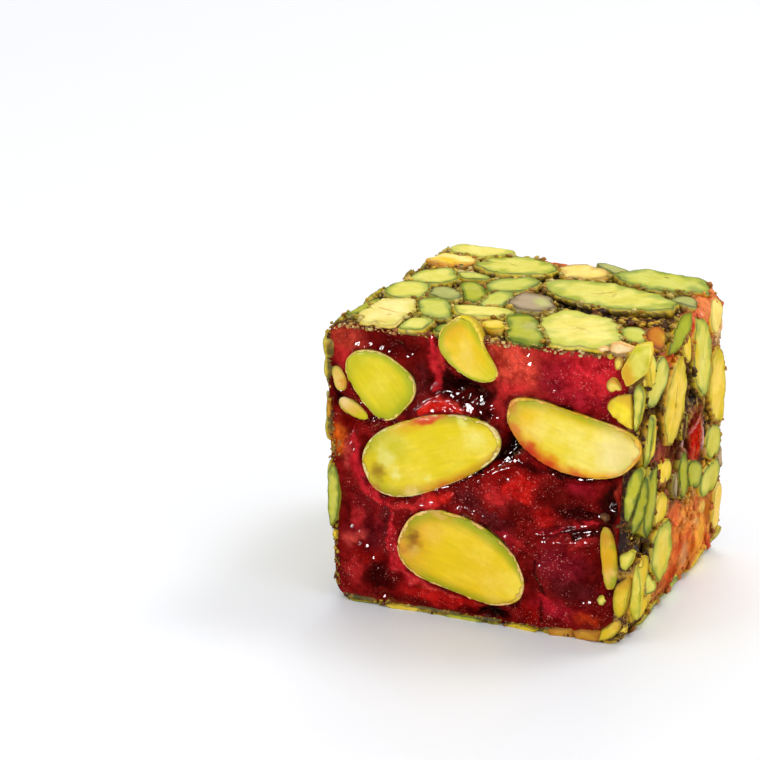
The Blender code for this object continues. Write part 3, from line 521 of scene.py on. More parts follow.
loop = rim_loop()
inner_x, inner_z, rim = section_grid(JELLY_SIDES, JELLY_RADIUS)
side_rings = [np.stack([inner_x[loop], np.full(len(loop), level), inner_z[loop]], 1) for level in SIDE_LEVELS]
for ring, (points, paint, torn) in zip((side_rings[0], side_rings[-1]), cuts):
    ring += SIDE_FLARE * (points[loop] - ring) * (1, 0, 1)
side_count = len(loop) * len(side_rings)
jelly_points = np.concatenate([cuts[0][0], cuts[1][0], *side_rings])
jelly_paint = np.concatenate([cuts[0][1], cuts[1][1], np.tile(linear(REDS["maroon"]), (side_count, 1))])
jelly_torn = np.concatenate([cuts[0][2], cuts[1][2], np.zeros(side_count)])

grid = np.arange(CUT_COLUMNS * CUT_ROWS).reshape(CUT_ROWS, CUT_COLUMNS)
front_quads = np.stack([grid[:-1, :-1], grid[:-1, 1:], grid[1:, 1:], grid[1:, :-1]], -1).reshape(-1, 4)
back_quads = front_quads[:, ::-1] + grid.size
side_numbers = 2 * grid.size + np.arange(side_count).reshape(len(side_rings), -1)
rings = np.stack([loop, *side_numbers, loop + grid.size])
onward = np.roll(rings, -1, axis=1)
side_quads = np.stack([rings[:-1], rings[1:], onward[1:], onward[:-1]], -1).reshape(-1, 4)
jelly = new_piece("jelly_body", jelly_points, np.concatenate([front_quads, back_quads, side_quads]).tolist(),
                  "jelly", jelly_paint, torn=jelly_torn)
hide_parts("jelly")


class Wire:
    """One output of a material's nodes; arithmetic on it adds Math nodes."""

    def __init__(self, tree, socket=None):
        self.tree = tree
        self.socket = socket

    def node(self, kind, inputs=None, output=0, **settings):
        """Adds a node of a kind with its settings, then the values or links of its sockets."""
        made = self.tree.nodes.new(kind)
        for name, value in settings.items():
            setattr(made, name, value)
        for name, value in (inputs or {}).items():
            if isinstance(value, Wire):
                self.tree.links.new(value.socket, made.inputs[name])
            else:
                made.inputs[name].default_value = value
        return Wire(self.tree, made.outputs[output])

    def math(self, operation, other):
        """A Math node on this wire and a value."""
        return self.node("ShaderNodeMath", {0: self, 1: other}, operation=operation)

    def __add__(self, other):
        return self.math("ADD", other)

    __radd__ = __add__

    def __sub__(self, other):
        return self.math("SUBTRACT", other)

    def __rsub__(self, other):
        return (self * -1) + other

    def __mul__(self, other):
        return self.math("MULTIPLY", other)

    __rmul__ = __mul__

    def between(self, low, high):
        """0 below low and 1 above high, with a soft step between."""
        inputs = {"Value": self, "From Min": low, "From Max": high}
        return self.node("ShaderNodeMapRange", inputs, interpolation_type="SMOOTHSTEP")

    def mixed(self, first, second):
        """Two colours mixed with this wire as the second one's share."""
        return self.node("ShaderNodeMix", {0: self, 6: first, 7: second}, 2, data_type="RGBA")

    def multiplied(self, shade, share=1.0):
        """This colour multiplied by another, by a share."""
        inputs = {0: share, 6: self, 7: shade}
        return self.node("ShaderNodeMix", inputs, 2, data_type="RGBA", blend_type="MULTIPLY")

    def channels(self, *lines):
        """A colour of three channels, each this wire times a slope plus a start."""
        inputs = {number: self * slope + start for number, (slope, start) in enumerate(lines)}
        return self.node("ShaderNodeCombineColor", inputs)

    def toned(self, saturation, value):
        """This colour with its saturation and its value multiplied."""
        inputs = {"Saturation": saturation, "Value": value, "Color": self}
        return self.node("ShaderNodeHueSaturation", inputs)

    def noise(self, scale, detail, roughness=0.5, distortion=0.0):
        """Noise at this place, from 0 to 1."""
        inputs = {"Vector": self, "Scale": scale, "Detail": detail, "Roughness": roughness,
                  "Distortion": distortion}
        return self.node("ShaderNodeTexNoise", inputs)

    def bumped(self, strength, distance):
        """The normal of a surface with this wire as its height."""
        return self.node("ShaderNodeBump", {"Height": self, "Strength": strength, "Distance": distance})


def new_finish(name, **constants):
    """A material with one Principled shader whose even values are set on its own sockets."""
    finish = bpy.data.materials.new(name)
    finish.use_nodes = True
    shader = finish.node_tree.nodes["Principled BSDF"]
    for socket, value in constants.items():
        shader.inputs[socket.replace("_", " ")].default_value = value
    return finish, shader


def painted_finish(name, **constants):
    """A new finish with wires of the place on the piece and of its paint."""
    finish, shader = new_finish(name, **constants)
    place = Wire(finish.node_tree).node("ShaderNodeTexCoord", output="Object")
    return finish, shader, place, place.node("ShaderNodeAttribute", attribute_name="paint")


def connect(shader, **wires):
    """Links wires to the shader's sockets."""
    for socket, wire in wires.items():
        wire.tree.links.new(wire.socket, shader.inputs[socket.replace("_", " ")])


def screen(red, green, blue):
    """A screen colour as a node's linear colour."""
    return (*linear((red, green, blue)), 1.0)


jelly_finish, shader, place, paint = painted_finish(
    "jelly_cut", IOR=1.5, Coat_IOR=1.5, Coat_Roughness=0.04, Subsurface_Weight=0.10,
    Subsurface_Radius=(1.0, 0.12, 0.08), Subsurface_Scale=0.0010)
torn = place.node("ShaderNodeAttribute", output="Fac", attribute_name="torn")
cloud, strands = place.noise(620, 6, 0.7), place.noise(1300, 4, 0.65, 1.0)
glint_noise, glint_patches = place.noise(4600, 2, 0.6), place.noise(340, 4).between(0.42, 0.62)
swell, ripple = place.noise(300, 1, 0.5, 0.6), place.noise(760, 0, 0.5, 0.8)
mottle = cloud.between(0.34, 0.66) * 0.6 + strands.between(0.34, 0.66) * 0.4
body = paint.multiplied(mottle.channels((1.0, 0.49), (1.4, 0.27), (1.35, 0.31)))
# Painted glints: tiny pale pink specks laid into the base colour where the jelly is smooth, standing in for
# sparkling highlights.
painted_glints = glint_noise.between(0.61, 0.70) * glint_patches * (1 - torn) * 0.7
level = swell * (torn * 0.60 + 0.32) + ripple * (torn * 0.16 + 0.04)
connect(shader, Base_Color=painted_glints.mixed(body, screen(240, 150, 138)), Normal=level.bumped(1.0, 0.0007),
        Roughness=cloud.between(0.40, 0.66) * 0.04 + 0.05,
        Coat_Weight=cloud.between(0.35, 0.60) * 0.5 + 0.2)
jelly.data.materials.append(jelly_finish)


# The cut kernels: whole pistachios that the knife went through, so each shows a smooth
# yellow-green face inside a thin pale skin.  Each is a closed body, set in its seat in the
# jelly, with a nearly flat cut face and a round back.

# How deep the kernels and the chips go.
KERNEL_DEPTH = 4.3
CHIP_DEPTH = 1.6

# How far the cut faces' middles stand out.
KERNEL_CROWN = 0.55
CHIP_CROWN = 0.35

# Columns and rings of the bodies.
KERNEL_GRIDS = {"front": (200, 44), "chip": (80, 18), "back": (160, 34)}

# For each kernel: the middle, left end, right end, upper edge, lower edge and skin.
KERNEL_COLOURS = {
    "kernel_top_left": ((236, 216, 46), (208, 200, 24), (206, 198, 14), (210, 202, 30), (194, 190, 10),
                        (238, 206, 120)),
    "kernel_top_centre": ((250, 214, 78), (240, 190, 54), (226, 214, 52), (222, 206, 50), (206, 200, 40),
                          (232, 198, 100)),
    "kernel_middle_left": ((244, 220, 60), (232, 208, 50), (246, 222, 80), (228, 190, 14), (222, 150, 24),
                           (244, 214, 150)),
    "kernel_middle_right": ((253, 230, 108), (248, 196, 62), (255, 236, 150), (208, 178, 40),
                            (246, 166, 24), (238, 180, 84)),
    "kernel_lower_centre": ((250, 214, 44), (232, 166, 20), (255, 222, 60), (178, 168, 18), (216, 176, 16),
                            (238, 190, 116)),
    "chip": ((236, 198, 104), (226, 184, 92), (232, 192, 98), (222, 182, 90), (216, 168, 76),
             (214, 160, 84)),
    "back": ((236, 210, 74), (216, 190, 54), (238, 210, 84), (188, 180, 50), (214, 162, 46),
             (232, 202, 138)),
}
KERNEL_GREEN = (158, 178, 10)
KERNEL_SEAM = (112, 84, 6)

# The husk on a kernel's sides and on the part above the top; the dark one is also a painted shadow line at
# the face's outline.
HUSK_AND_SHADE_COLOURS = ((84, 24, 8), (186, 160, 60))

# Stains on the cut faces, by kernel or kind: along, across (shares of its half sizes), half
# length and width in mm, colour, share.
KERNEL_STAINS = {
    "kernel_middle_left": (
        (-0.45, 0.5, 2.2, 2.2, (206, 200, 60), 0.6),
        (-0.62, 0.22, 1.2, 1.2, (238, 230, 136), 0.7),
        (-0.55, -0.25, 0.7, 0.7, (244, 236, 150), 0.7),
        (-0.8, -0.02, 0.95, 0.95, (160, 118, 22), 0.85),
        (-0.9, -0.38, 0.75, 0.75, (200, 138, 46), 0.8),
        (-0.46, -0.86, 1.1, 1.1, (236, 204, 116), 0.9),
        (-0.15, -0.62, 0.5, 0.5, (246, 236, 140), 0.6),
        (0.6, 0.66, 0.6, 0.6, (246, 238, 140), 0.8),
        (0.7, 0.1, 1.4, 1.4, (250, 236, 130), 0.6),
        (-0.06, 0.86, 2.9, 0.9, (240, 186, 48), 0.6),
        (0.16, 0.9, 2.5, 0.45, (226, 72, 14), 1.0),
        (0.02, -1.0, 0.9, 0.9, (214, 92, 32), 0.8),
        (0.3, -0.98, 0.8, 0.8, (222, 126, 40), 0.7),
    ),
    "kernel_lower_centre": (
        (-0.51, 0.82, 1.5, 0.5, (232, 190, 116), 0.8),
        (-0.75, -0.1, 1.0, 1.0, (186, 118, 10), 0.8),
        (-0.8, 0.1, 0.8, 0.8, (150, 96, 12), 0.85),
        (-0.7, -0.22, 0.7, 0.7, (232, 196, 96), 0.7),
        (-0.88, -0.35, 0.6, 0.6, (206, 132, 36), 0.8),
        (-0.5, 0.3, 1.2, 1.2, (240, 196, 60), 0.6),
        (0.45, -0.2, 2.6, 2.6, (255, 212, 70), 0.6),
    ),
    "kernel_middle_right": (
        (-0.52, -0.92, 1.7, 1.7, (216, 50, 8), 1.0),
        (-0.2, -1.02, 1.6, 1.6, (224, 74, 8), 1.0),
        (0.22, -1.06, 1.4, 1.4, (222, 84, 12), 0.9),
        (-0.82, -0.5, 1.1, 1.1, (226, 112, 30), 0.8),
        (-0.98, 0.2, 1.0, 1.0, (214, 120, 40), 0.7),
        (1.0, -0.1, 0.7, 0.7, (214, 100, 40), 0.6),
        (0.65, 0.0, 2.4, 2.4, (253, 232, 158), 0.7),
    ),
    "back": (
        (-0.55, 0.3, 1.4, 1.0, (240, 226, 120), 0.6),
        (-0.84, 0.0, 0.8, 0.6, (176, 130, 26), 0.8),
        (0.1, -1.0, 2.4, 0.6, (220, 110, 30), 0.8),
        (0.5, 0.2, 1.8, 1.0, (248, 232, 130), 0.6),
        (-0.2, 0.9, 1.6, 0.5, (170, 180, 30), 0.7),
    ),
    "chip_lower_left": (
        (0.75, -0.3, 1.0, 1.0, (216, 204, 60), 0.8),
        (-0.7, 0.4, 0.8, 0.8, (250, 214, 150), 0.8),
    ),
    "chip_upper_left": (
        (0.4, 0.6, 0.6, 0.6, (226, 150, 66), 0.7),
    ),
    "chip_lower_right": (
        (0.2, 1.0, 0.8, 0.8, (150, 160, 24), 0.9),
        (0.75, 0.8, 0.9, 0.9, (160, 166, 30), 0.9),
        (-0.35, 1.0, 0.6, 0.6, (150, 160, 24), 0.8),
        (0.0, -0.5, 1.6, 1.6, (232, 176, 50), 0.8),
        (-0.7, -0.3, 1.0, 1.0, (206, 150, 60), 0.7),
    ),
    "kernel_top_centre": (
        (-0.3, -0.9, 0.9, 0.9, (196, 188, 50), 0.7),
        (0.1, 0.3, 1.2, 1.2, (246, 216, 110), 0.5),
    ),
}


def capped(first, values, last, columns):
    """A value for every point of a shell: its first pole's, each ring's for its columns, its last pole's."""
    return np.r_[first, np.repeat(values, columns), last]


def kernel_body(sizes, depth, crown, facing, columns, rings):
    """Points of a kernel, with each one's share of the way to the outline and its place along and across.

    The outline is a superellipse made wider at one end and bent.  The cut face is that
    outline shrunk to its middle, crown times (1 - share to the fifth) to the 0.3 high;
    behind it a quarter ellipse closes the body.
    """
    x, z, half_length, half_width, turn, squareness, egg, bend = sizes
    shares = 1 - (1 - np.linspace(0, 1, rings + 1)[1:]) ** 1.7
    back = np.linspace(0, np.pi / 2, 7)[1:-1]
    angle = np.arange(columns) * 2 * np.pi / columns
    u, v = ((np.sign(way) * np.abs(way) ** (2 / squareness)) * np.r_[shares, np.cos(back)][:, None]
            for way in (np.cos(angle), np.sin(angle)))
    u, v = np.r_[0, u.ravel(), 0], np.r_[0, v.ravel(), 0]
    out = capped(crown, np.r_[crown * (1 - shares ** 5) ** 0.3, -depth * np.sin(back)], -depth, columns)
    share = capped(0, np.r_[shares, 1 + back], 3, columns)
    wobble = 1 + 0.012 * waves(np.stack([u, v], 1), 0.9, int(100 + abs(x) * 10))
    along = half_length * u * wobble
    across = half_width * v * wobble * (1 + egg * u) + bend * (1 - u * u)
    right, up = turned(along, across, -turn)
    return np.stack([x + right, facing * (BLOCK[1] / 2 + out), z + up], 1), share, u, v


def shell_faces(rings, columns):
    """Faces of a closed shell: a fan at each pole, and quads from each ring to the next."""
    ring = 1 + np.arange(rings)[:, None] * columns + np.arange(columns)
    onward = np.roll(ring, -1, axis=1)
    quads = np.stack([ring[:-1], ring[1:], onward[1:], onward[:-1]], -1).reshape(-1, 4)
    first = np.stack([np.zeros(columns, int), ring[0], onward[0]], -1)
    last = np.stack([np.full(columns, rings * columns + 1), onward[-1], ring[-1]], -1)
    return quads.tolist() + first.tolist() + last.tolist()


def shells_piece(name, shells, columns, slot, finish):
    """One piece of closed shells with the same rings, each given as its points and its colours."""
    points, paint = (np.concatenate(part) for part in zip(*shells))
    count = len(points) // len(shells)
    faces = [[corner + count * number for corner in face]
             for number in range(len(shells)) for face in shell_faces(count // columns, columns)]
    piece = new_piece(name, points, faces, slot, paint)
    piece.data.materials.append(finish)
    return piece


def kernel_paint(name, share, u, v, points):
    """Colours of a kernel.

    Its middle blends into the colours of its ends and edges, then come a green band, fine
    fibres, the skin with its dark seam, the stains, and the husk on the sides, whose dark
    colour at the outline is also painted shadow.
    """
    family = name if name in KERNEL_COLOURS else name.split("_")[1 if "back" in name else 0]
    middle, left, right, upper, lower, skin = (linear(colour) for colour in KERNEL_COLOURS[family])
    half_length, half_width = {**FRONT_KERNELS, **FRONT_CHIPS, **BACK_KERNELS}[name][2:4]
    across = v / np.maximum(np.sqrt(np.maximum(1 - u * u, 0)), 0.35)
    paint = np.tile(middle, (len(share), 1))
    paint = mixed(paint, left, smooth_step(-u, 0.25, 1.0))
    paint = mixed(paint, right, smooth_step(u, 0.25, 1.0))
    paint = mixed(paint, upper, smooth_step(across, 0.55, 1.0) * 0.9)
    paint = mixed(paint, lower, smooth_step(-across, 0.60, 1.0) * 0.9)
    green = 0.62 * smooth_step(share, 0.70, 0.97) * smooth_step(waves(points, 6.0, 61), -0.8, 0.5)
    paint = mixed(paint, linear(KERNEL_GREEN), green)
    along, across = u * half_length, v * half_width
    fibres = waves(np.stack([along / 5, across], 1), 0.8, 64) * smooth_step(1 - share, 0.0, 0.3)
    strokes = waves(np.stack([along / 6, across * 2.2 + u * 2], 1), 0.8, 66) * (share < 0.92)
    paint = paint * (1 + 0.025 * fibres + 0.012 * strokes)[:, None]
    patchy = smooth_step(waves(points, 2.6, 60) + 0.5 * waves(points, 0.6, 62), -1.0, 0.2)
    start = 0.952 - 0.018 * waves(points, 1.1, 63)
    crust = skin * (1.15 + 0.22 * waves(points, 0.40, 65))[:, None]
    paint = mixed(paint, linear(KERNEL_SEAM), 0.7 * np.exp(-((share - start) / 0.008) ** 2))
    paint = mixed(paint, np.clip(crust, 0, 1), smooth_step(share - start, 0.0, 0.012) * patchy)
    ragged = [0.16 * waves(points, 0.8, seed) + 0.12 * waves(points, 2.4, seed + 2) for seed in (90, 91)]
    stains = KERNEL_STAINS.get(family, KERNEL_STAINS.get(name, ()))
    for stain_u, stain_v, half_u, half_v, colour, strength in stains:
        away = np.hypot(((u - stain_u) * half_length + ragged[0]) / half_u,
                        ((v - stain_v) * half_width + ragged[1]) / half_v)
        paint = mixed(paint, linear(colour), strength * np.exp(-away ** 3))
    # The dark husk from just inside the outline outwards: partly the real husk, partly a painted shadow line
    # where the kernel meets the jelly.
    low, high = linear(HUSK_AND_SHADE_COLOURS)
    husk_and_shade = mixed(np.tile(low, (len(share), 1)), high, smooth_step(points[:, 2], 34.0, 36.0))
    return mixed(paint, husk_and_shade, smooth_step(share, 0.992, 1.02))


kernel_finish, shader, place, paint = painted_finish(
    "kernel_cut", IOR=1.42, Coat_IOR=1.45, Coat_Roughness=0.12, Specular_IOR_Level=0.35,
    Subsurface_Weight=0.25, Subsurface_Radius=(1.0, 0.8, 0.25), Subsurface_Scale=0.0010)
cloud, grain = place.noise(300, 4, 0.55), place.noise(2200, 3, 0.6)
deep, light = paint.toned(1.12, 0.93), paint.toned(0.98, 1.06)
tone = cloud.between(0.35, 0.70).mixed(deep, light)
connect(shader, Base_Color=(grain.between(0.35, 0.65) * 0.3).mixed(tone, deep),
        Roughness=grain * 0.2 + 0.32, Coat_Weight=cloud.between(0.4, 0.6) * 0.2 + 0.05,
        Normal=(cloud * 0.6 + grain * 0.4).bumped(0.35, 0.0003))

for kernels, depth, crown, facing, columns, rings in (
        (FRONT_KERNELS, KERNEL_DEPTH, KERNEL_CROWN, -1, *KERNEL_GRIDS["front"]),
        (FRONT_CHIPS, CHIP_DEPTH, CHIP_CROWN, -1, *KERNEL_GRIDS["chip"]),
        (BACK_KERNELS, KERNEL_DEPTH, KERNEL_CROWN, 1, *KERNEL_GRIDS["back"])):
    for name, sizes in kernels.items():
        if name == "chip_upper_right":  # a wedge with flat faces, made with the nut pieces
            continue
        points, share, u, v = kernel_body(sizes, depth, crown, facing, columns, rings)
        face = smooth_step(1.0 - share, 0.0, 0.12)
        points[:, 1] += face * 0.06 * waves(points, 4.0, 70)
        lip = np.exp(-((share - 0.982) / 0.014) ** 2)
        points[:, 1] += facing * 0.12 * lip * (0.6 + 0.8 * waves(points, 0.7, 71))
        shell = points, kernel_paint(name, share, u, v, points)
        body = shells_piece(name + "_cut", [shell], columns, "cut_kernel", kernel_finish)
        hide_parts(name)


# The nut coat's bed: finely chopped nuts pressed into the jelly's skin, brown and amber
# where the syrup soaked them, with bare red jelly showing here and there.  It is a closed
# sleeve with a lumpy outer face, open at the two cuts.

# The edges' radius, the coat's depth on each side, the bed's share of it, the gap between the
# coat and the jelly, and how far the small slices sink into the bed.
EDGE_RADIUS = 3.0
COAT_DEPTH = {"left": 1.9, "right": 2.5, "top": 2.0, "bottom": 1.3}
BED_SHARE = 0.34
GAP = 0.3
SINK = 0.25

# Half the straight parts of the top and of a side, one edge's arc, and the whole way round.
STRAIGHT = BLOCK[[0, 2]] / 2 - EDGE_RADIUS
ARC = math.pi * EDGE_RADIUS / 2
AROUND = 4 * (STRAIGHT.sum() + ARC)

# The bed's grid step, where its flat outer face ends, how its ends are rounded and how far
# they reach in, and its level below the slices' faces on each side.  All in mm.
BED_STEP = 0.30
BED_END = 16.5
BED_ROUND = 0.45
END_DROPS = (-0.85, -1.2, -1.6, -2.0)
CORE_DROP = -9
RIGHT_REACH = 0.45
BED_LEVEL = {"left": 0.40, "right": 0.65, "top": 0.75, "bottom": 0.2}

# Crumbs of the bed from dark to pale, and how often each comes.
BED_CRUMBS = ((30, 11, 5), (58, 26, 8), (104, 58, 14), (164, 112, 26), (214, 170, 52), (140, 128, 28),
              (238, 206, 104))
BED_SHARES = (0.34, 0.22, 0.15, 0.10, 0.09, 0.05, 0.05)
COARSE_CRUMB = 0.95
FINE_CRUMB = 0.55

# Patches of the bed, by side: place along it, place towards the back, half sizes, turn,
# colour, share, swell in mm, and how bare and wet the jelly lies there.
BED_PATCHES = (
    ("right", (
        (24.0, -15.0, 14.0, 5.0, 0, (50, 15, 8), 0.95, -0.3, 0.7),
        (20.0, -4.0, 5.0, 8.0, 0, (112, 26, 12), 0.95, 0.1, 0.7),
        (28.0, -1.0, 6.0, 4.0, 0, (88, 30, 10), 0.9, 0.0, 0.5),
        (6.0, 4.0, 6.6, 14.0, 0, (226, 118, 28), 1.0, 0.15, 0.45),
        (34.4, 10.0, 4.0, 9.0, 0, (226, 116, 66), 1.0, 0.2, 0.8),
    )),
    ("top", (
        (15.6, -6.0, 3.6, 2.4, -45, (150, 76, 16), 0.9, -0.2, 0.3),
        (16.4, -16.2, 2.2, 1.6, 0, (252, 222, 150), 1.0, 0.5, 0.3),
        (4.4, -0.2, 5.0, 1.5, -24, (30, 10, 5), 1.0, -0.9, 0.0),
        (9.6, -3.6, 2.6, 0.7, -40, (34, 12, 6), 1.0, -0.8, 0.0),
        (13.0, -4.8, 4.0, 1.2, -45, (70, 34, 10), 0.9, -0.5, 0.25),
        (-2.4, 16.4, 2.0, 2.2, -50, (218, 98, 26), 1.0, 0.3, 0.8),
        (-15.6, 8.4, 1.6, 1.8, -30, (246, 176, 48), 1.0, 0.3, 0.8),
        (-12.0, -0.8, 1.4, 0.8, 0, (52, 22, 12), 0.9, -0.7, 0.0),
        (-9.8, 0.2, 1.2, 0.8, 0, (60, 26, 12), 0.9, -0.7, 0.0),
        (-2.4, 0.6, 1.4, 0.8, 0, (40, 20, 10), 0.9, -0.7, 0.0),
        (0.2, -7.0, 0.8, 1.2, 0, (44, 18, 14), 0.9, -0.7, 0.0),
        (-11.0, -9.6, 0.7, 2.0, 14, (44, 16, 12), 0.9, -0.7, 0.0),
        (-11.9, 12.4, 0.9, 1.0, 0, (36, 16, 8), 0.9, -0.7, 0.0),
        (-7.2, 4.2, 0.7, 1.4, 30, (60, 34, 12), 0.8, -0.5, 0.0),
        (-17.2, -9.0, 0.8, 3.6, 8, (52, 34, 22), 0.8, -0.5, 0.0),
        (-6.2, -15.6, 0.8, 2.0, 10, (92, 26, 18), 0.8, -0.4, 0.0),
        (17.6, 1.0, 0.6, 3.6, 0, (66, 40, 14), 0.8, -0.4, 0.0),
    )),
    ("right", (
        (21.8, -9.6, 1.5, 4.4, 0, (166, 62, 46), 0.85, 0.2, 0.4),
        (21.8, -2.6, 1.9, 4.0, 0, (60, 5, 3), 1.0, 0.4, 1.0),
        (19.2, 5.9, 3.8, 3.4, 0, (200, 6, 2), 1.0, 0.5, 1.0),
        (22.3, 5.0, 0.8, 3.6, -8, (86, 8, 5), 0.9, 0.4, 1.0),
        # Painted highlight: a thin pale pink streak on the wet red jelly.
        (21.4, 5.6, 0.2, 3.0, -14, (250, 186, 170), 0.5, 0.6, 1.0),
        (18.7, 2.4, 2.6, 1.9, 0, (40, 3, 2), 1.0, 0.0, 1.0),
        (17.6, 4.7, 1.4, 0.5, 20, (206, 110, 70), 0.5, 0.5, 0.5),
        # Painted highlights: a pale pink line and spot on the wet red jelly.
        (18.2, 9.5, 2.2, 0.4, 0, (232, 176, 172), 0.8, 0.4, 0.8),
        (20.2, 0.3, 0.8, 0.8, 0, (226, 176, 160), 0.8, 0.3, 0.5),
        (26.6, 3.4, 2.8, 3.4, 20, (22, 4, 3), 1.0, -0.8, 0.8),
        # Painted highlights: two thin pale streaks in the dark wet hollow.
        (27.6, 2.8, 0.14, 1.8, -30, (226, 180, 150), 0.6, -0.6, 0.6),
        (25.9, 4.6, 0.12, 1.4, -30, (216, 160, 120), 0.6, -0.6, 0.6),
        (24.4, 1.0, 1.2, 1.6, 0, (62, 12, 18), 0.9, -0.2, 0.7),
        (25.8, -13.0, 1.8, 1.8, 0, (226, 116, 16), 1.0, 0.3, 0.4),
        (17.0, -4.4, 1.3, 1.5, 0, (116, 38, 12), 0.9, 0.0, 0.5),
        (16.2, -8.0, 1.0, 1.0, 0, (84, 44, 14), 0.9, -0.6, 0.3),
        (15.2, -10.6, 2.4, 1.6, 0, (228, 188, 66), 0.9, 0.4, 0.2),
        (14.0, -5.8, 1.0, 2.0, 0, (236, 190, 72), 0.9, 0.4, 0.2),
        (11.4, -1.6, 1.8, 2.8, 0, (226, 98, 44), 0.9, 0.3, 0.6),
        (10.4, 5.6, 2.2, 3.6, 0, (216, 136, 54), 0.8, 0.2, 0.4),
        (9.4, 1.6, 1.0, 1.8, 30, (236, 156, 70), 0.5, 0.3, 0.3),
        (7.4, 7.4, 0.8, 1.6, 20, (248, 196, 116), 0.6, 0.3, 0.3),
        (8.4, 10.2, 0.9, 1.2, 0, (246, 208, 90), 0.8, 0.3, 0.2),
        (12.0, 3.4, 0.7, 1.4, 20, (244, 196, 84), 0.8, 0.3, 0.2),
        (9.8, 7.4, 0.8, 1.0, 0, (180, 76, 10), 0.9, 0.0, 0.6),
        (6.2, 1.0, 1.1, 2.2, 0, (206, 62, 22), 0.9, 0.3, 0.7),
        (6.6, 4.6, 0.9, 1.4, 0, (220, 84, 30), 0.9, 0.3, 0.6),
        (3.6, -2.2, 1.5, 3.4, -14, (194, 66, 22), 1.0, 0.5, 0.9),
        (4.2, 3.4, 1.8, 1.6, 0, (214, 142, 92), 0.9, 0.2, 0.5),
        (4.2, 6.6, 1.4, 1.6, 0, (204, 84, 14), 0.9, 0.3, 0.9),
        (4.6, 9.6, 2.8, 1.8, 0, (254, 172, 54), 1.0, 0.4, 0.8),
        (7.4, 12.4, 1.8, 1.6, 0, (196, 102, 4), 1.0, 0.3, 0.7),
        (2.4, 12.8, 1.1, 1.8, 0, (234, 82, 42), 1.0, 0.3, 0.9),
        (14.2, -16.8, 0.9, 1.1, 0, (24, 8, 6), 1.0, -0.8, 0.6),
        (12.0, -14.6, 1.1, 1.6, 0, (28, 10, 6), 1.0, -0.8, 0.6),
        (10.6, -12.2, 1.5, 1.0, 0, (56, 22, 12), 1.0, -0.6, 0.5),
        (7.8, -13.0, 1.4, 0.9, 0, (56, 22, 12), 1.0, -0.6, 0.5),
        (10.0, -14.4, 0.6, 0.6, 0, (222, 192, 66), 1.0, 0.5, 0.0),
        (4.0, -11.0, 1.3, 2.2, 0, (224, 180, 48), 0.9, 0.3, 0.1),
        (36.4, 5.2, 1.0, 4.2, 0, (214, 96, 60), 0.9, 0.2, 0.5),
        (36.0, 11.6, 2.0, 4.0, 0, (236, 132, 74), 0.95, 0.3, 0.5),
        (31.6, 15.8, 2.2, 2.4, 0, (226, 180, 116), 0.9, 0.2, 0.3),
        (37.4, -12.4, 1.6, 4.4, 0, (206, 118, 8), 1.0, 0.3, 0.7),
        (34.0, -8.4, 1.4, 3.6, 0, (214, 88, 10), 1.0, 0.3, 0.6),
        (35.2, 3.4, 1.2, 1.6, 0, (196, 40, 24), 1.0, 0.2, 0.9),
        (32.8, 3.4, 1.4, 0.9, 0, (226, 170, 40), 0.9, 0.2, 0.2),
    )),
    ("left", (
        (22.0, 0.0, 3.4, 4.2, 0, (140, 18, 14), 0.9, 0.4, 0.9),
        (8.0, 9.0, 3.0, 4.0, 0, (206, 106, 36), 0.8, 0.4, 0.5),
        (30.0, -9.0, 2.4, 3.0, 0, (150, 26, 18), 0.8, 0.4, 0.8),
        (21.2, -16.0, 1.6, 2.4, 0, (206, 112, 34), 0.9, 0.3, 0.6),
    )),
    ("bottom", (
        (10.0, -12.0, 8.0, 4.0, 0, (196, 138, 44), 0.6, 0.0, 0.0),
    )),
)

# Patches of the coat's own front end, seen at the cut: x, z, half sizes, turn, colour, share.
FRONT_END_PATCHES = (
    (19.0, 20.0, 1.6, 5.0, 0, (66, 26, 14), 0.9),
    (18.6, 12.6, 1.6, 3.0, 0, (58, 22, 18), 0.9),
    (18.2, 29.0, 1.6, 3.6, 0, (120, 40, 24), 0.7),
    (17.4, 34.6, 1.6, 2.0, 0, (196, 128, 40), 0.8),
    (18.0, 4.0, 1.6, 2.4, 0, (110, 62, 24), 0.8),
    (13.0, 0.4, 5.0, 1.2, 0, (198, 136, 36), 0.8),
    (-19.4, 21.4, 0.9, 1.8, 0, (206, 112, 30), 0.9),
    (-19.4, 28.0, 0.9, 5.0, 0, (120, 62, 28), 0.7),
    (-4.0, 36.6, 12.0, 0.8, 0, (150, 78, 40), 0.5),
    (12.0, 36.6, 6.0, 0.8, 0, (206, 150, 104), 0.6),
)


def heading_at(s):
    """The way the block's outer section runs at s mm from the middle of its top.

    It turns a quarter on each of the four arcs.
    """
    starts = np.cumsum([STRAIGHT[0], ARC + 2 * STRAIGHT[1], ARC + 2 * STRAIGHT[0], ARC + 2 * STRAIGHT[1]])
    return -sum(np.clip((s - start) / EDGE_RADIUS, 0, np.pi / 2) for start in starts)


section_s = np.arange(0, AROUND + 0.01, 0.01)
section_step = 0.01 * np.exp(1j * heading_at(section_s[:-1] + 0.005))
section_place = np.r_[0, np.cumsum(section_step)] + 1j * BLOCK[2]


def faces_side(side, heading):
    """How squarely the coat faces a side: the cosine of the angle between them, and 0 past a quarter turn."""
    cosines = {"top": np.cos(heading), "right": -np.sin(heading), "bottom": -np.cos(heading),
               "left": np.sin(heading)}
    return np.clip(cosines[side], 0, 1)


def coat_depth(heading):
    """Depth of the coat: the sides' own depths, blended over the edges by the squares of the cosines."""
    return sum(depth * faces_side(side, heading) ** 2 for side, depth in COAT_DEPTH.items())


def bed_depth(depth):
    """How deep the bed's face lies where the coat is that deep."""
    return depth * (1 - BED_SHARE) - GAP


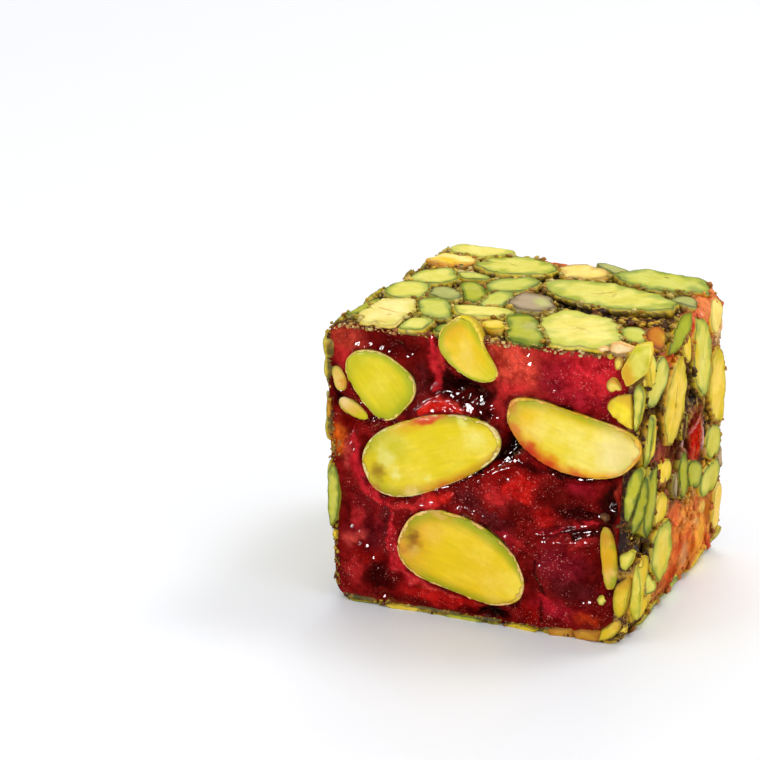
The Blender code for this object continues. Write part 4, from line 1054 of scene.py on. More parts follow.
def on_coat(s, y, out):
    """Places on the coat: the section's point at s, moved out along its normal, at y."""
    s = s % AROUND
    place = np.interp(s, section_s, section_place)
    heading = heading_at(s)
    place = place + out * 1j * np.exp(1j * heading)
    return np.stack([place.real, y, place.imag], -1)


def side_to_s(side, place):
    """Distance along the section of a place on one side: x on top and bottom, z at the sides."""
    a, b = STRAIGHT
    down = BLOCK[2] / 2 - place
    return {"top": place, "right": a + ARC + b + down, "left": -(a + ARC + b + down),
            "bottom": 2 * a + 2 * ARC + 2 * b - place}[side]


def wrapped(distance):
    """A distance along the section, the short way round."""
    return (distance + AROUND / 2) % AROUND - AROUND / 2


def past_place(side, s, place):
    """Distance along a side from a place on it, counted like x on top and bottom and like z at the sides."""
    away = wrapped(s - side_to_s(side, place))
    return away if side in ("top", "left") else -away


def cobbles(a, b, size, seed):
    """Crumbs pressed together: each place belongs to the nearest middle of those scattered in a grid.

    Returns the crumb's dome, one minus the squared distance in squares, and two random
    numbers of the crumb.  The grid closes on itself once round the section.
    """
    columns = round(AROUND / size)
    a, b = (a % AROUND) / AROUND * columns, b / size
    middle_a, middle_b = np.floor(a), np.floor(b)
    nearest, first, second = np.full(a.shape, 9.0), np.zeros_like(a), np.zeros_like(a)
    for step_a in (-1, 0, 1):
        for step_b in (-1, 0, 1):
            column, row = middle_a + step_a, middle_b + step_b
            mark = (column % columns) * 12.9898 + row * 78.233 + seed * 3.7
            shift_a, shift_b, number, other = (
                (np.sin(mark + start) * scale) % 1
                for start, scale in ((0, 43758.5), (1.7, 24634.6), (3.1, 35791.2), (4.9, 17231.9)))
            away = (a - column - shift_a) ** 2 + (b - row - shift_b) ** 2
            closer = away < nearest
            nearest, first, second = (np.where(closer, new, old) for new, old in (
                (away, nearest), (number, first), (other, second)))
    return 1 - nearest, first, second


def picked(number, colours, shares):
    """Colours chosen by a random number, each as often as its share."""
    index = np.searchsorted(np.cumsum(shares)[:-1], number)
    return linear(colours)[index]


# Bare places, where no fill slices lie: side, place along it, place towards the back, half sizes, turn.
BARE_PLACES = (
    ("right", 6.8, 6.4, 6.6, 11.0, 0),
    ("right", 19.2, 5.4, 4.0, 4.6, 0),
    ("right", 21.6, -7.0, 1.6, 7.4, 0),
    ("right", 26.4, 3.0, 2.6, 2.8, 0),
    ("right", 35.6, 12.4, 2.4, 4.6, 0),
    ("right", 34.4, -8.0, 2.0, 5.0, 0),
    ("right", 33.6, 2.4, 2.4, 2.4, 0),
    ("top", 5.0, -1.0, 5.2, 1.9, -28),
    ("top", 14.6, -5.0, 5.0, 3.0, -40),
)


def bed_look(s, y):
    """The bed's colour, swell and wetness: pressed crumbs of many tints, with the patches laid over them."""
    dome, tint, level = cobbles(s + 0.2 * waves(np.stack([s, y], 1), 1.3, 15), y, COARSE_CRUMB, 1)
    small_dome, small_tint, small_level = cobbles(s, y, FINE_CRUMB, 2)
    paint = picked(0.65 * tint + 0.35 * small_tint, BED_CRUMBS, BED_SHARES)
    # Painted shade: each crumb is darkened towards its edge, where it dips between its neighbours.
    paint = paint * (0.55 + 0.45 * smooth_step(dome, 0.55, 0.95))[:, None]
    swell = 0.34 * (level - 0.5) + 0.22 * (dome - 0.8) + 0.14 * small_dome * small_level
    wet = np.zeros_like(s)
    for side, patches in BED_PATCHES:
        for along, back, half_along, half_back, turn, colour, share, height, bare in patches:
            cover = oval_share(past_place(side, s, along), y, 0, back, half_along, half_back, turn, 2.0)
            tone = linear(colour) * (1 + 0.6 * (tint - 0.5) * (1 - 0.6 * bare))[:, None]
            paint = mixed(paint, tone, share * cover * (1 - 0.35 * (small_tint > 0.72) * (1 - bare)))
            swell = swell * (1 - cover * bare * 0.8) + height * cover
            wet = np.maximum(wet, cover * bare)
    return np.clip(paint, 0, 1), swell, wet


s_count = int(AROUND / BED_STEP)
y_levels = np.arange(-BED_END, BED_END + 0.01, BED_STEP)
rounding = np.linspace(0, np.pi / 2, 5)[1:]
front_y, front_drop = -BED_END - BED_ROUND * np.sin(rounding), -BED_ROUND * (1 - np.cos(rounding))
end_y = np.full(len(END_DROPS), BED_END + BED_ROUND)
profile_y = np.r_[y_levels, -front_y, end_y, 0.5 * BED_END, -0.5 * BED_END, -end_y, front_y[::-1]]
profile_drop = np.r_[y_levels * 0, front_drop, END_DROPS, CORE_DROP, CORE_DROP, END_DROPS[::-1],
                     front_drop[::-1]]
s, y = (part.ravel() for part in np.meshgrid(np.arange(s_count) * AROUND / s_count, profile_y))
drop = np.repeat(profile_drop, s_count)
heading = heading_at(s)
y = y - RIGHT_REACH * faces_side("right", heading) ** 2 * smooth_step(-y, 15.5, 16.5)
paint, swell, wet = bed_look(s, y + drop)
level = sum(height * faces_side(side, heading) ** 2 for side, height in BED_LEVEL.items())
on_end = smooth_step(-drop, 0.3, 0.9)
out = np.clip(-level + swell, -1.5, -0.05) * (1 - on_end) + (drop - level) * on_end
out = np.maximum(out, GAP - coat_depth(heading))
y = y + np.sign(y) * on_end * np.clip(swell + 0.1, -0.3, 0.3) * (drop > -5)
bed_points = on_coat(s, y, out)
end_paint = paint.copy()
for *patch, colour, share in FRONT_END_PATCHES:
    cover = share * oval_share(bed_points[:, 0], bed_points[:, 2], *patch, 2.0)
    end_paint = mixed(end_paint, linear(colour) * (0.7 + 0.6 * ((s * 7.3) % 1))[:, None], cover)
paint = mixed(paint, end_paint, on_end * (y < 0))
numbers = np.arange(len(s)).reshape(len(profile_y), s_count)
down, onward = np.roll(numbers, -1, axis=0), np.roll(numbers, -1, axis=1)
quads = np.stack([numbers, onward, np.roll(down, -1, axis=1), down], -1).reshape(-1, 4)
bed = new_piece("coat_bed", bed_points, quads.tolist(), "nut_coat", paint, wet=wet)
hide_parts("nut_coat")

bed_finish, shader, place, paint = painted_finish(
    "chopped_bed", IOR=1.45, Coat_IOR=1.5, Coat_Roughness=0.06, Subsurface_Weight=0.10,
    Subsurface_Radius=(1.0, 0.5, 0.2), Subsurface_Scale=0.0008)
bare = place.node("ShaderNodeAttribute", output="Fac", attribute_name="wet")
bits = place.node("ShaderNodeTexVoronoi", {"Vector": place, "Scale": 2600}, "Color")
bit = bits.node("ShaderNodeSeparateColor", {0: bits})
cloud, ripple = place.noise(1100, 5, 0.7), place.noise(620, 2, 0.5, 1.2)
nutty = bit.between(0.72, 0.95) * (1 - bare * 0.8)
chopped = (nutty * 0.45).mixed(paint, screen(224, 172, 62))
shade = cloud.channels((1.3, 0.4), (1.4, 0.35), (1.4, 0.35))
level = (cloud * 0.6 + bit * 0.4) * (1.05 - bare) + ripple * bare
connect(shader, Base_Color=chopped.multiplied(shade, 0.9), Roughness=0.62 - bare * 0.45,
        Coat_Weight=bare * bare * 0.85 + 0.04, Normal=level.bumped(0.8, 0.0005))
bed.data.materials.append(bed_finish)


# The slices: pistachios sliced thin and pressed on while the log was sticky, so they lie
# close together like a mosaic.  Each grows out from its oval until it nearly meets its
# neighbours.  The large ones are pieces of their own and the small ones are joined.

# Each is: side, place along it, place towards the back, length, width, turn, height, kind.
LARGE_SLICES = {
    "slice_top_long": ("top", 8.3, 4.5, 17.6, 8.6, -16, 0.15, "lime"),
    "slice_top_back": ("top", 12.6, 13.9, 11.0, 7.2, 4, 0.35, "green"),
    "slice_top_rear_left": ("top", -6.5, 11.3, 9.2, 8.2, 12, 0.15, "lime"),
    "slice_top_far_left": ("top", -13.4, 15.7, 7.6, 4.2, 4, 0.10, "butter"),
    "slice_top_front_left": ("top", -13.4, -13.4, 11.4, 5.0, 96, 0.20, "cream"),
    "slice_top_front": ("top", 9.9, -11.3, 15.6, 8.4, -62, 0.15, "butter"),
    "slice_top_front_green": ("top", 3.7, -13.6, 11.4, 3.6, -63, 0.05, "deep"),
    "slice_right_upper": ("right", 27.8, -5.0, 9.4, 8.6, 80, 0.15, "gold"),
    "slice_right_middle": ("right", 30.2, 6.8, 9.2, 6.0, -74, 0.05, "lime"),
    "slice_right_rear": ("right", 24.2, 13.9, 10.4, 5.8, -62, 0.20, "gold"),
    "slice_right_lower": ("right", 9.0, -7.4, 7.6, 6.6, -12, 0.15, "lime"),
}
SMALL_SLICES = {
    "top": (
        (-15.6, 10.9, 5.0, 4.2, 25, 0.1, "amber"),
        (-14.3, 3.0, 5.8, 4.6, 50, 0.0, "lime"),
        (-14.9, -4.4, 6.8, 4.2, 80, 0.1, "lime"),
        (-9.1, -15.6, 6.0, 3.0, 78, 0.0, "lime"),
        (-9.1, -9.7, 7.6, 3.4, -58, 0.1, "green"),
        (-3.4, -8.6, 6.4, 4.0, 18, 0.1, "butter"),
        (-4.3, 3.8, 6.4, 5.0, 68, 0.0, "green"),
        (-7.4, -1.2, 8.4, 2.6, -64, -0.1, "deep"),
        (-10.5, -3.3, 5.8, 3.2, -50, 0.0, "sage"),
        (-3.8, -3.1, 5.6, 3.0, 80, 0.0, "green"),
        (0.7, -2.9, 6.4, 4.6, -68, 0.2, "lilac"),
        (-0.1, -13.0, 7.4, 3.8, -62, 0.0, "gold"),
        (16.6, -10.2, 5.2, 4.2, -35, 0.0, "green"),
        (-10.6, 5.3, 4.0, 2.8, 10, -0.1, "green"),
        (1.9, 13.6, 6.2, 4.4, -18, 0.0, "peach"),
        (5.2, 16.2, 4.0, 2.0, -20, 0.2, "sage"),
        (17.2, 7.6, 4.0, 2.2, -76, 0.0, "sage"),
        (19.0, -3.3, 11.4, 2.6, -75, 0.2, "leaf"),
        (-17.6, -11.6, 8.0, 1.8, 88, -0.2, "deep"),
    ),
    "right": (
        (34.0, -1.4, 3.8, 2.4, -65, 0.1, "gold"),
        (32.5, -13.2, 6.6, 4.4, 10, 0.1, "lime"),
        (18.3, -15.2, 8.6, 5.0, 82, 0.7, "deep"),
        (24.6, -14.8, 5.0, 2.8, 62, 0.0, "gold"),
        (7.0, -15.6, 7.0, 4.2, 84, 0.2, "gold"),
        (35.4, -16.4, 5.4, 3.4, 86, 0.3, "butter"),
        (14.8, 5.2, 5.0, 2.4, -28, 0.0, "deep"),
        (16.2, 0.2, 6.8, 3.2, -55, 0.1, "deep"),
        (16.8, 13.4, 4.6, 3.4, 0, 0.0, "lime"),
        (11.9, 12.2, 7.2, 3.4, 0, 0.1, "lime"),
        (3.4, -11.6, 5.4, 2.0, -8, -0.3, "gold"),
        (19.6, -8.8, 6.2, 2.0, -10, -0.1, "gold"),
        (14.6, -8.4, 5.2, 3.0, -28, 0.0, "gold"),
        (34.0, 13.6, 4.8, 2.8, 20, -0.1, "cream"),
        (6.4, 16.0, 7.0, 1.8, 88, -0.1, "cream"),
    ),
    "left": (
        (14.0, -15.6, 8.4, 4.6, 90, 0.2, "lime"),
    ),
    "bottom": (
        (0.0, 0.0, 11.0, 7.5, 20, 0.1, "lime"),
    ),
}

# Two slices that lie over the upper right edge: s, y, length, width, turn, height.
LEAF_PLACE = (20.0, -2.8, 13.0, 2.0, -81, 0.35)
SYRUP_PLACE = (18.4, -9.0, 7.6, 2.6, -78, 0.20)

# The fill slices on the sides with no rows of their own, from long to short.
LEFT_LARGE_LENGTHS = (11.5, 10.6, 9.8, 9.2)
LEFT_LARGE_MARGIN = 4
FILL_LENGTHS = [9.0 - 0.14 * i for i in range(32)]
SMALL_LENGTHS = [4.4 - 0.06 * i for i in range(32)]
FILL_WIDTHS = (0.45, 0.8)
FILL_HEIGHTS = (-0.05, 0.2)
UNDERSIDE_HEIGHT = 0.1
FILL_TRIES = 60
CLEARANCE = 0.35
SHRINK = 0.95
SINK_RANGE = (0.7, 1.1)
KNIFE_REACH = 17.45
FILL_FAMILIES = ("lime", "green", "gold", "butter", "deep", "lime", "cream", "green", "lilac")

# How a slice grows: the most that it gains, the gap that it keeps, its outline's power, and
# its columns and rings, large and small.
GROWTH = 0.95
SLICE_GAP = 0.24
SLICE_POWER = 1.8
LARGE_GRID = (120, 26)
SMALL_GRID = (44, 9)

# Middle, green band near the rim, line round the face, and the side, for each kind of slice.
SLICE_COLOURS = {
    "cream": ((244, 226, 144), (224, 210, 112), (170, 150, 80), (250, 218, 96)),
    "butter": ((236, 222, 122), (198, 200, 90), (132, 126, 60), (244, 210, 64)),
    "lime": ((224, 215, 108), (164, 176, 72), (84, 86, 40), (234, 202, 44)),
    "green": ((208, 206, 98), (144, 160, 70), (74, 78, 34), (216, 190, 38)),
    "deep": ((184, 184, 70), (108, 128, 38), (56, 62, 20), (190, 176, 30)),
    "gold": ((244, 212, 94), (212, 192, 62), (132, 104, 26), (228, 172, 26)),
    "lilac": ((182, 160, 130), (142, 122, 84), (86, 74, 54), (176, 160, 60)),
    "sage": ((178, 178, 104), (138, 146, 80), (80, 80, 44), (196, 184, 66)),
    "leaf": ((164, 172, 12), (126, 136, 2), (90, 88, 10), (240, 204, 60)),
    "peach": ((248, 222, 128), (216, 182, 100), (150, 112, 60), (238, 184, 76)),
    "amber": ((248, 232, 140), (240, 212, 108), (200, 150, 60), (250, 170, 30)),
    "syrup": ((196, 118, 8), (168, 84, 4), (104, 38, 2), (222, 160, 30)),
}

# Cracks and marks on the faces: along, across, half sizes, turn, colour, share.  Those under
# a side's name are at places on that side of the cube, those under a slice's at mm from its middle.
SLICE_MARKS = {
    "top": (
        (-15.4, 9.1, 2.0, 1.2, 0, (255, 196, 36), 1.0),
        (20.6, -7.6, 1.6, 2.2, 0, (232, 218, 70), 0.8),
        (1.9, -2.4, 1.0, 1.8, 24, (196, 200, 122), 0.85),
        (-9.4, -2.4, 0.8, 1.6, 10, (190, 190, 110), 0.8),
        (4.0, -12.4, 0.9, 1.6, 20, (184, 178, 112), 0.7),
    ),
    "right": (
        (23.4, -0.4, 1.6, 1.8, 0, (90, 24, 14), 1.0),
        (22.0, -1.6, 1.4, 2.6, 0, (96, 20, 8), 1.0),
        (8.8, -7.2, 2.6, 2.4, 0, (240, 200, 70), 0.5),
        (33.4, 14.0, 2.8, 2.4, 0, (255, 226, 136), 0.8),
        (6.4, 16.4, 4.4, 2.2, 0, (246, 206, 110), 0.85),
        (16.8, 13.4, 2.6, 2.4, 0, (204, 196, 96), 0.6),
        (12.2, 12.0, 3.8, 2.4, 0, (196, 190, 76), 0.5),
        (30.6, 3.9, 3.8, 0.9, -8, (230, 196, 56), 0.9),
        (33.4, -16.6, 2.4, 1.2, 0, (232, 196, 50), 0.8),
    ),
    "slice_top_long": (
        (-0.8, 0.6, 1.5, 0.2, 60, (196, 128, 44), 0.8),
        (-1.6, -0.6, 1.0, 0.16, 20, (190, 130, 50), 0.7),
        (0.6, 0.3, 0.9, 0.14, -70, (186, 132, 52), 0.6),
    ),
    "slice_top_back": (
        (0.2, 1.0, 0.35, 0.3, 0, (120, 112, 36), 0.9),
    ),
    "slice_top_rear_left": (
        (-0.6, 0.4, 0.9, 0.13, -50, (160, 120, 40), 0.7),
    ),
    "slice_top_front_left": (
        (0.4, 0.2, 1.5, 0.12, 70, (196, 130, 60), 0.9),
        (-1.2, -0.3, 0.9, 0.11, 10, (196, 140, 70), 0.7),
        (-3.4, 0.1, 0.8, 0.1, 84, (190, 130, 60), 0.8),
    ),
    "slice_top_front": (
        (-0.2, 0.2, 1.4, 0.13, 30, (196, 164, 66), 0.8),
        (0.3, 0.0, 1.1, 0.12, -50, (196, 164, 66), 0.7),
        (-0.4, -0.3, 0.9, 0.12, 90, (190, 160, 66), 0.6),
    ),
    "slice_right_upper": (
        (0.0, 0.2, 2.2, 0.16, 4, (120, 98, 28), 0.9),
    ),
    "slice_right_middle": (
        (0.4, 0.2, 1.6, 0.12, 8, (150, 140, 44), 0.6),
    ),
}
RIGHT_TINT = (1.0, 0.97, 0.82)


def place_of(row):
    """A slice's row as a place on the coat: s, y, length, width, turn, height."""
    side, place, back, length, width, turn, height, family = row
    turn = {"right": turn + 90, "left": 90 - turn}.get(side, turn)
    return side_to_s(side, place), back, length, width, turn, height


def side_of(s):
    """The side of the block at s."""
    return ("top", "right", "bottom", "left")[round(-float(heading_at(s % AROUND)) / (math.pi / 2)) % 4]


def oval_points(place, count=20):
    """Points on the rim of a slice's oval."""
    s, y, length, width, turn, height = place
    for number in range(count):
        angle = 2 * math.pi * number / count
        u, v = turned(length / 2 * math.cos(angle), width / 2 * math.sin(angle), -turn)
        yield s + u, y + v


def in_oval(s, y, oval, margin=0.0):
    """Whether a place of the coat lies in an oval of s, y, half sizes and turn, widened by margin."""
    centre_s, centre_y, half_length, half_width, turn = oval
    u, v = turned(wrapped(s - centre_s), y - centre_y, turn)
    return (u / (half_length + margin)) ** 2 + (v / (half_width + margin)) ** 2 < 1


def is_bare(s, y):
    """Whether a place of the coat has no fill slices."""
    return any(in_oval(s, y, (side_to_s(side, along), *oval)) for side, along, *oval in BARE_PLACES)


def overlaps(place, other):
    """Whether a slice comes nearer than the clearance to a point on another's rim."""
    s, y, length, width, turn, height = place
    oval = (s, y, length / 2, width / 2, turn)
    return any(in_oval(*point, oval, CLEARANCE) for point in oval_points(other))


def clear_of(place, others):
    """Whether a slice keeps the clearance to all the others."""
    return not any(overlaps(other, place) or overlaps(place, other) for other in others)


def drop_slices(lengths, start, end, taken, rng):
    """New slices between start and end of the section, in order, wherever each still fits."""
    added = []
    for length in lengths:
        for attempt in range(FILL_TRIES):
            s, y = rng.uniform(start, end), rng.uniform(-BLOCK[1] / 2, BLOCK[1] / 2)
            width, turn = length * rng.uniform(*FILL_WIDTHS), rng.uniform(0, 180)
            height = UNDERSIDE_HEIGHT if side_of(s) == "bottom" else rng.uniform(*FILL_HEIGHTS)
            place = (s, y, length, width, turn, height)
            if not is_bare(s, y) and clear_of(place, taken + added):
                added.append(place)
                break
    return added


def made_clear(place, others):
    """The slice, made smaller until it keeps clear of the others."""
    s, y, length, width, turn, height = place
    while not clear_of((s, y, length, width, turn, height), others):
        length, width = length * SHRINK, width * SHRINK
    return s, y, length, width, turn, height


small_rows = [(side, *row) for side, rows in SMALL_SLICES.items() for row in rows]
large_places = {name: place_of(row) for name, row in LARGE_SLICES.items()}
families = {name: row[-1] for name, row in LARGE_SLICES.items()}
left_start = 3 * STRAIGHT[0] + 2 * STRAIGHT[1] + 3 * ARC
left_end = left_start + 2 * STRAIGHT[1]
taken = list(large_places.values()) + [place_of(row) for row in small_rows]
left_large = drop_slices(LEFT_LARGE_LENGTHS, left_start + LEFT_LARGE_MARGIN, left_end - LEFT_LARGE_MARGIN,
                         taken, layout)
for number, place in enumerate(left_large):
    name = "slice_left_%d" % (number + 1)
    large_places[name], families[name] = place, FILL_FAMILIES[number]
small_places = [made_clear(place_of(row), list(large_places.values())) for row in small_rows]
for lengths, start, end in ((FILL_LENGTHS, left_start - 2 * STRAIGHT[0] - 1.4 * ARC, left_end + ARC / 2),
                            (SMALL_LENGTHS, 0, AROUND)):
    small_places += drop_slices(lengths, start, end, list(large_places.values()) + small_places, layout)
small_families = [row[-1] for row in small_rows]
small_families += [FILL_FAMILIES[number % len(FILL_FAMILIES)]
                   for number in range(len(small_places) - len(small_rows))]
leaf = small_families.index("leaf")
small_places[leaf] = LEAF_PLACE
small_places.append(SYRUP_PLACE)
small_families.append("syrup")
places = list(large_places.values()) + small_places
perched = (len(large_places) + leaf, len(places) - 1)
sinks = [SINK * layout.uniform(*SINK_RANGE) for place in small_places]


def oval_distance(s, y, place):
    """Roughly the distance outside a slice's oval: its own measure less one, times its mean half size."""
    centre_s, centre_y, length, width, turn, height = place
    along, across = turned(wrapped(s - centre_s), y - centre_y, turn)
    return (np.hypot(along / length * 2, across / width * 2) - 1) * math.sqrt(length * width) / 2


def grown_outline(number, columns):
    """How far a slice reaches in each direction.

    It goes outwards along each ray until it has grown enough, its neighbour is as near or the
    knife's plane is reached, and is then smoothed over seven rays.  A perched slice keeps its oval.
    """
    s, y, length, width, turn, height = places[number]
    angle = np.arange(columns) * 2 * np.pi / columns
    c, d = np.cos(angle), np.sin(angle)
    powers = np.abs(c / length * 2) ** SLICE_POWER + np.abs(d / width * 2) ** SLICE_POWER
    oval = 1 / powers ** (1 / SLICE_POWER)
    if number in perched:
        return oval * (1 + 0.04 * waves(np.stack([c, d], 1) * 3, 1.8, 500 + number))
    steps = np.linspace(0.55, 1.0, 46)[:, None] * (oval + GROWTH)
    back_u, back_v = turned(steps * c, steps * d, -turn)
    at_s, at_y = s + back_u, y + back_v
    own = oval_distance(at_s, at_y, places[number])
    others = [oval_distance(at_s, at_y, other) for k, other in enumerate(places) if k != number
              and math.hypot(wrapped(other[0] - s), other[1] - y) < (length + other[2]) / 2 + 2]
    free = (own + SLICE_GAP < np.min([np.full_like(own, 9), *others], axis=0)) & (own < GROWTH)
    reach = np.maximum(np.where(np.cumprod(free, axis=0) > 0, steps, 0).max(0), 0.55 * oval)
    slope = back_v[-1] / steps[-1]
    knife = np.where(slope < 0, -KNIFE_REACH - y, KNIFE_REACH - y)
    knife = knife / np.where(np.abs(slope) < 1e-6, 1e-6, slope)
    reach = np.minimum(reach, np.maximum(knife, 0.3))
    pad = np.r_[reach[-3:], reach, reach[:3]]
    reach = np.convolve(pad, np.array((1, 2, 3, 4, 3, 2, 1)) / 16, "valid")
    corner = np.stack([c, d], 1) * math.sqrt(length * width) / 2
    return reach * (1 + 0.04 * waves(corner, 1.8, 500 + number)) + 0.035 * waves(corner, 0.45, 560 + number)


def slice_body(number, name, family, top, bottom, columns, rings):
    """Points and colours of one slice.

    Rings run from the middle of its flat face to the grown outline, over a crisp edge, down a
    slightly bulging side and to the middle of its underside.
    """
    s, y, length, width, turn, height = places[number]
    reach = grown_outline(number, columns)
    angle = np.arange(columns) * 2 * np.pi / columns
    shares = np.linspace(0, 1, rings + 1)[1:]
    bulge = reach + 0.06 + 0.10 * waves(np.stack([np.cos(angle), np.sin(angle)], 1) * 3, 1.6, 900 + number)
    radius = np.stack([*(shares[:, None] * (reach - 0.22)), reach - 0.09, reach - 0.01, bulge, bulge,
                       reach - 0.15, reach * 0.5])
    levels = (top - 0.07, top - 0.22, top * 0.55 + bottom * 0.45, bottom + 0.12, bottom, bottom)
    level = capped(top, np.r_[np.full(rings, top), levels], bottom, columns)
    share = capped(0, np.r_[shares, 1.03, 1.1, 1.3, 1.6, 2.0, 2.2], 2.4, columns)
    u, v = np.r_[0, (radius * np.cos(angle)).ravel(), 0], np.r_[0, (radius * np.sin(angle)).ravel(), 0]
    back_u, back_v = turned(u, v, -turn)
    place = np.stack([s + back_u, np.clip(y + back_v, -KNIFE_REACH - 0.1, KNIFE_REACH + 0.1)], 1)
    lean = 2.4 * number
    tilt = (back_u * math.cos(lean) + back_v * math.sin(lean)) / length * 2
    level = level + 0.22 * tilt * smooth_step(1.5 - share, 0, 0.4)
    face = smooth_step(1.15 - share, 0.0, 0.1)
    level = level + face * (0.06 * waves(place, 4.0, 600 + number) + 0.025 * waves(place, 1.2, 700 + number))
    if side_of(s) == "top":
        level = level - 0.5 * smooth_step(-place[:, 1], 15.2, 17.6) * (share < 1.5)
    middle, band, line, side = (linear(colour) for colour in SLICE_COLOURS[family])
    drift = 0.10 * waves(place, 2.6, 800 + number)
    paint = mixed(np.tile(middle, (len(share), 1)), band, smooth_step(share + drift, 0.58, 0.96) * 0.9)
    wander = 0.15 * waves(place, 0.9, 950)
    patchy = smooth_step(waves(place, 1.6, 850 + number), -1.2, 0.0)
    for owner in (side_of(s), name):
        for *mark, colour, strength in SLICE_MARKS.get(owner, ()):
            a, b = (u, v) if owner == name else (past_place(owner, place[:, 0], 0), place[:, 1])
            paint = mixed(paint, linear(colour), strength * oval_share(a, b + wander, *mark, 1.5))
    paint = mixed(paint, line, np.exp(-((share - 1.0) / 0.03) ** 2) * (0.25 + 0.6 * patchy))
    paint = mixed(paint, side * (0.85 + 0.15 * patchy)[:, None], smooth_step(share, 1.02, 1.12))
    # Down its side a slice takes the bed's colour darkened by a fifth: partly syrup soaked into the nut,
    # partly painted shade deeper down the wall.
    soak_and_shade = bed_look(place[:, 0], place[:, 1])[0] * 0.8
    paint = mixed(paint, soak_and_shade, smooth_step(share + 0.1 * waves(place, 0.7, 870), 1.08, 1.35) * 0.85)
    if side_of(s) == "right":
        paint = paint * RIGHT_TINT
    return on_coat(place[:, 0], place[:, 1], level), np.clip(paint, 0, 1)


slice_finish, shader, place, paint = painted_finish(
    "sliced_nut", IOR=1.42, Coat_IOR=1.45, Coat_Roughness=0.2, Subsurface_Weight=0.15,
    Subsurface_Radius=(1.0, 0.9, 0.3), Subsurface_Scale=0.0008)
cloud, grain = place.noise(420, 5, 0.6), place.noise(2400, 3, 0.6)
spots = place.node("ShaderNodeTexVoronoi", {"Vector": place, "Scale": 330}).between(0.05, 0.16)
mottled = cloud.between(0.36, 0.64).mixed(paint.toned(1.10, 0.90), paint.toned(1.0, 1.04))
brown = (1 - spots) * grain.between(0.45, 0.6) * 0.25
connect(shader, Base_Color=brown.mixed(mottled, screen(170, 128, 58)), Roughness=grain * 0.25 + 0.4,
        Coat_Weight=cloud.between(0.45, 0.6) * 0.2 + 0.04,
        Normal=(cloud * 0.6 + grain * 0.4).bumped(0.35, 0.00035))

for number, (name, place) in enumerate(large_places.items()):
    depth = bed_depth(COAT_DEPTH[side_of(place[0])])
    shell = slice_body(number, name, families[name], place[5] + 0.02, GAP - depth, *LARGE_GRID)
    body = shells_piece(name + "_cut", [shell], LARGE_GRID[0], "sliced_pistachio", slice_finish)
    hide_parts(name)

shells = []
for number, (place, family, sink) in enumerate(zip(small_places, small_families, sinks), len(large_places)):
    depth = bed_depth(COAT_DEPTH[side_of(place[0])])
    shells.append(slice_body(number, "", family, place[5], -depth - sink, *SMALL_GRID))
shells_piece("small_slices", shells, SMALL_GRID[0], "sliced_pistachio", slice_finish)


# The nut pieces along the front cut: slices and chunks of the coat that the knife left
# standing on edge, hanging over the jelly or lying along the foot.  Their cut faces are green
# or golden and flat, with crisp edges and rough yellow walls.

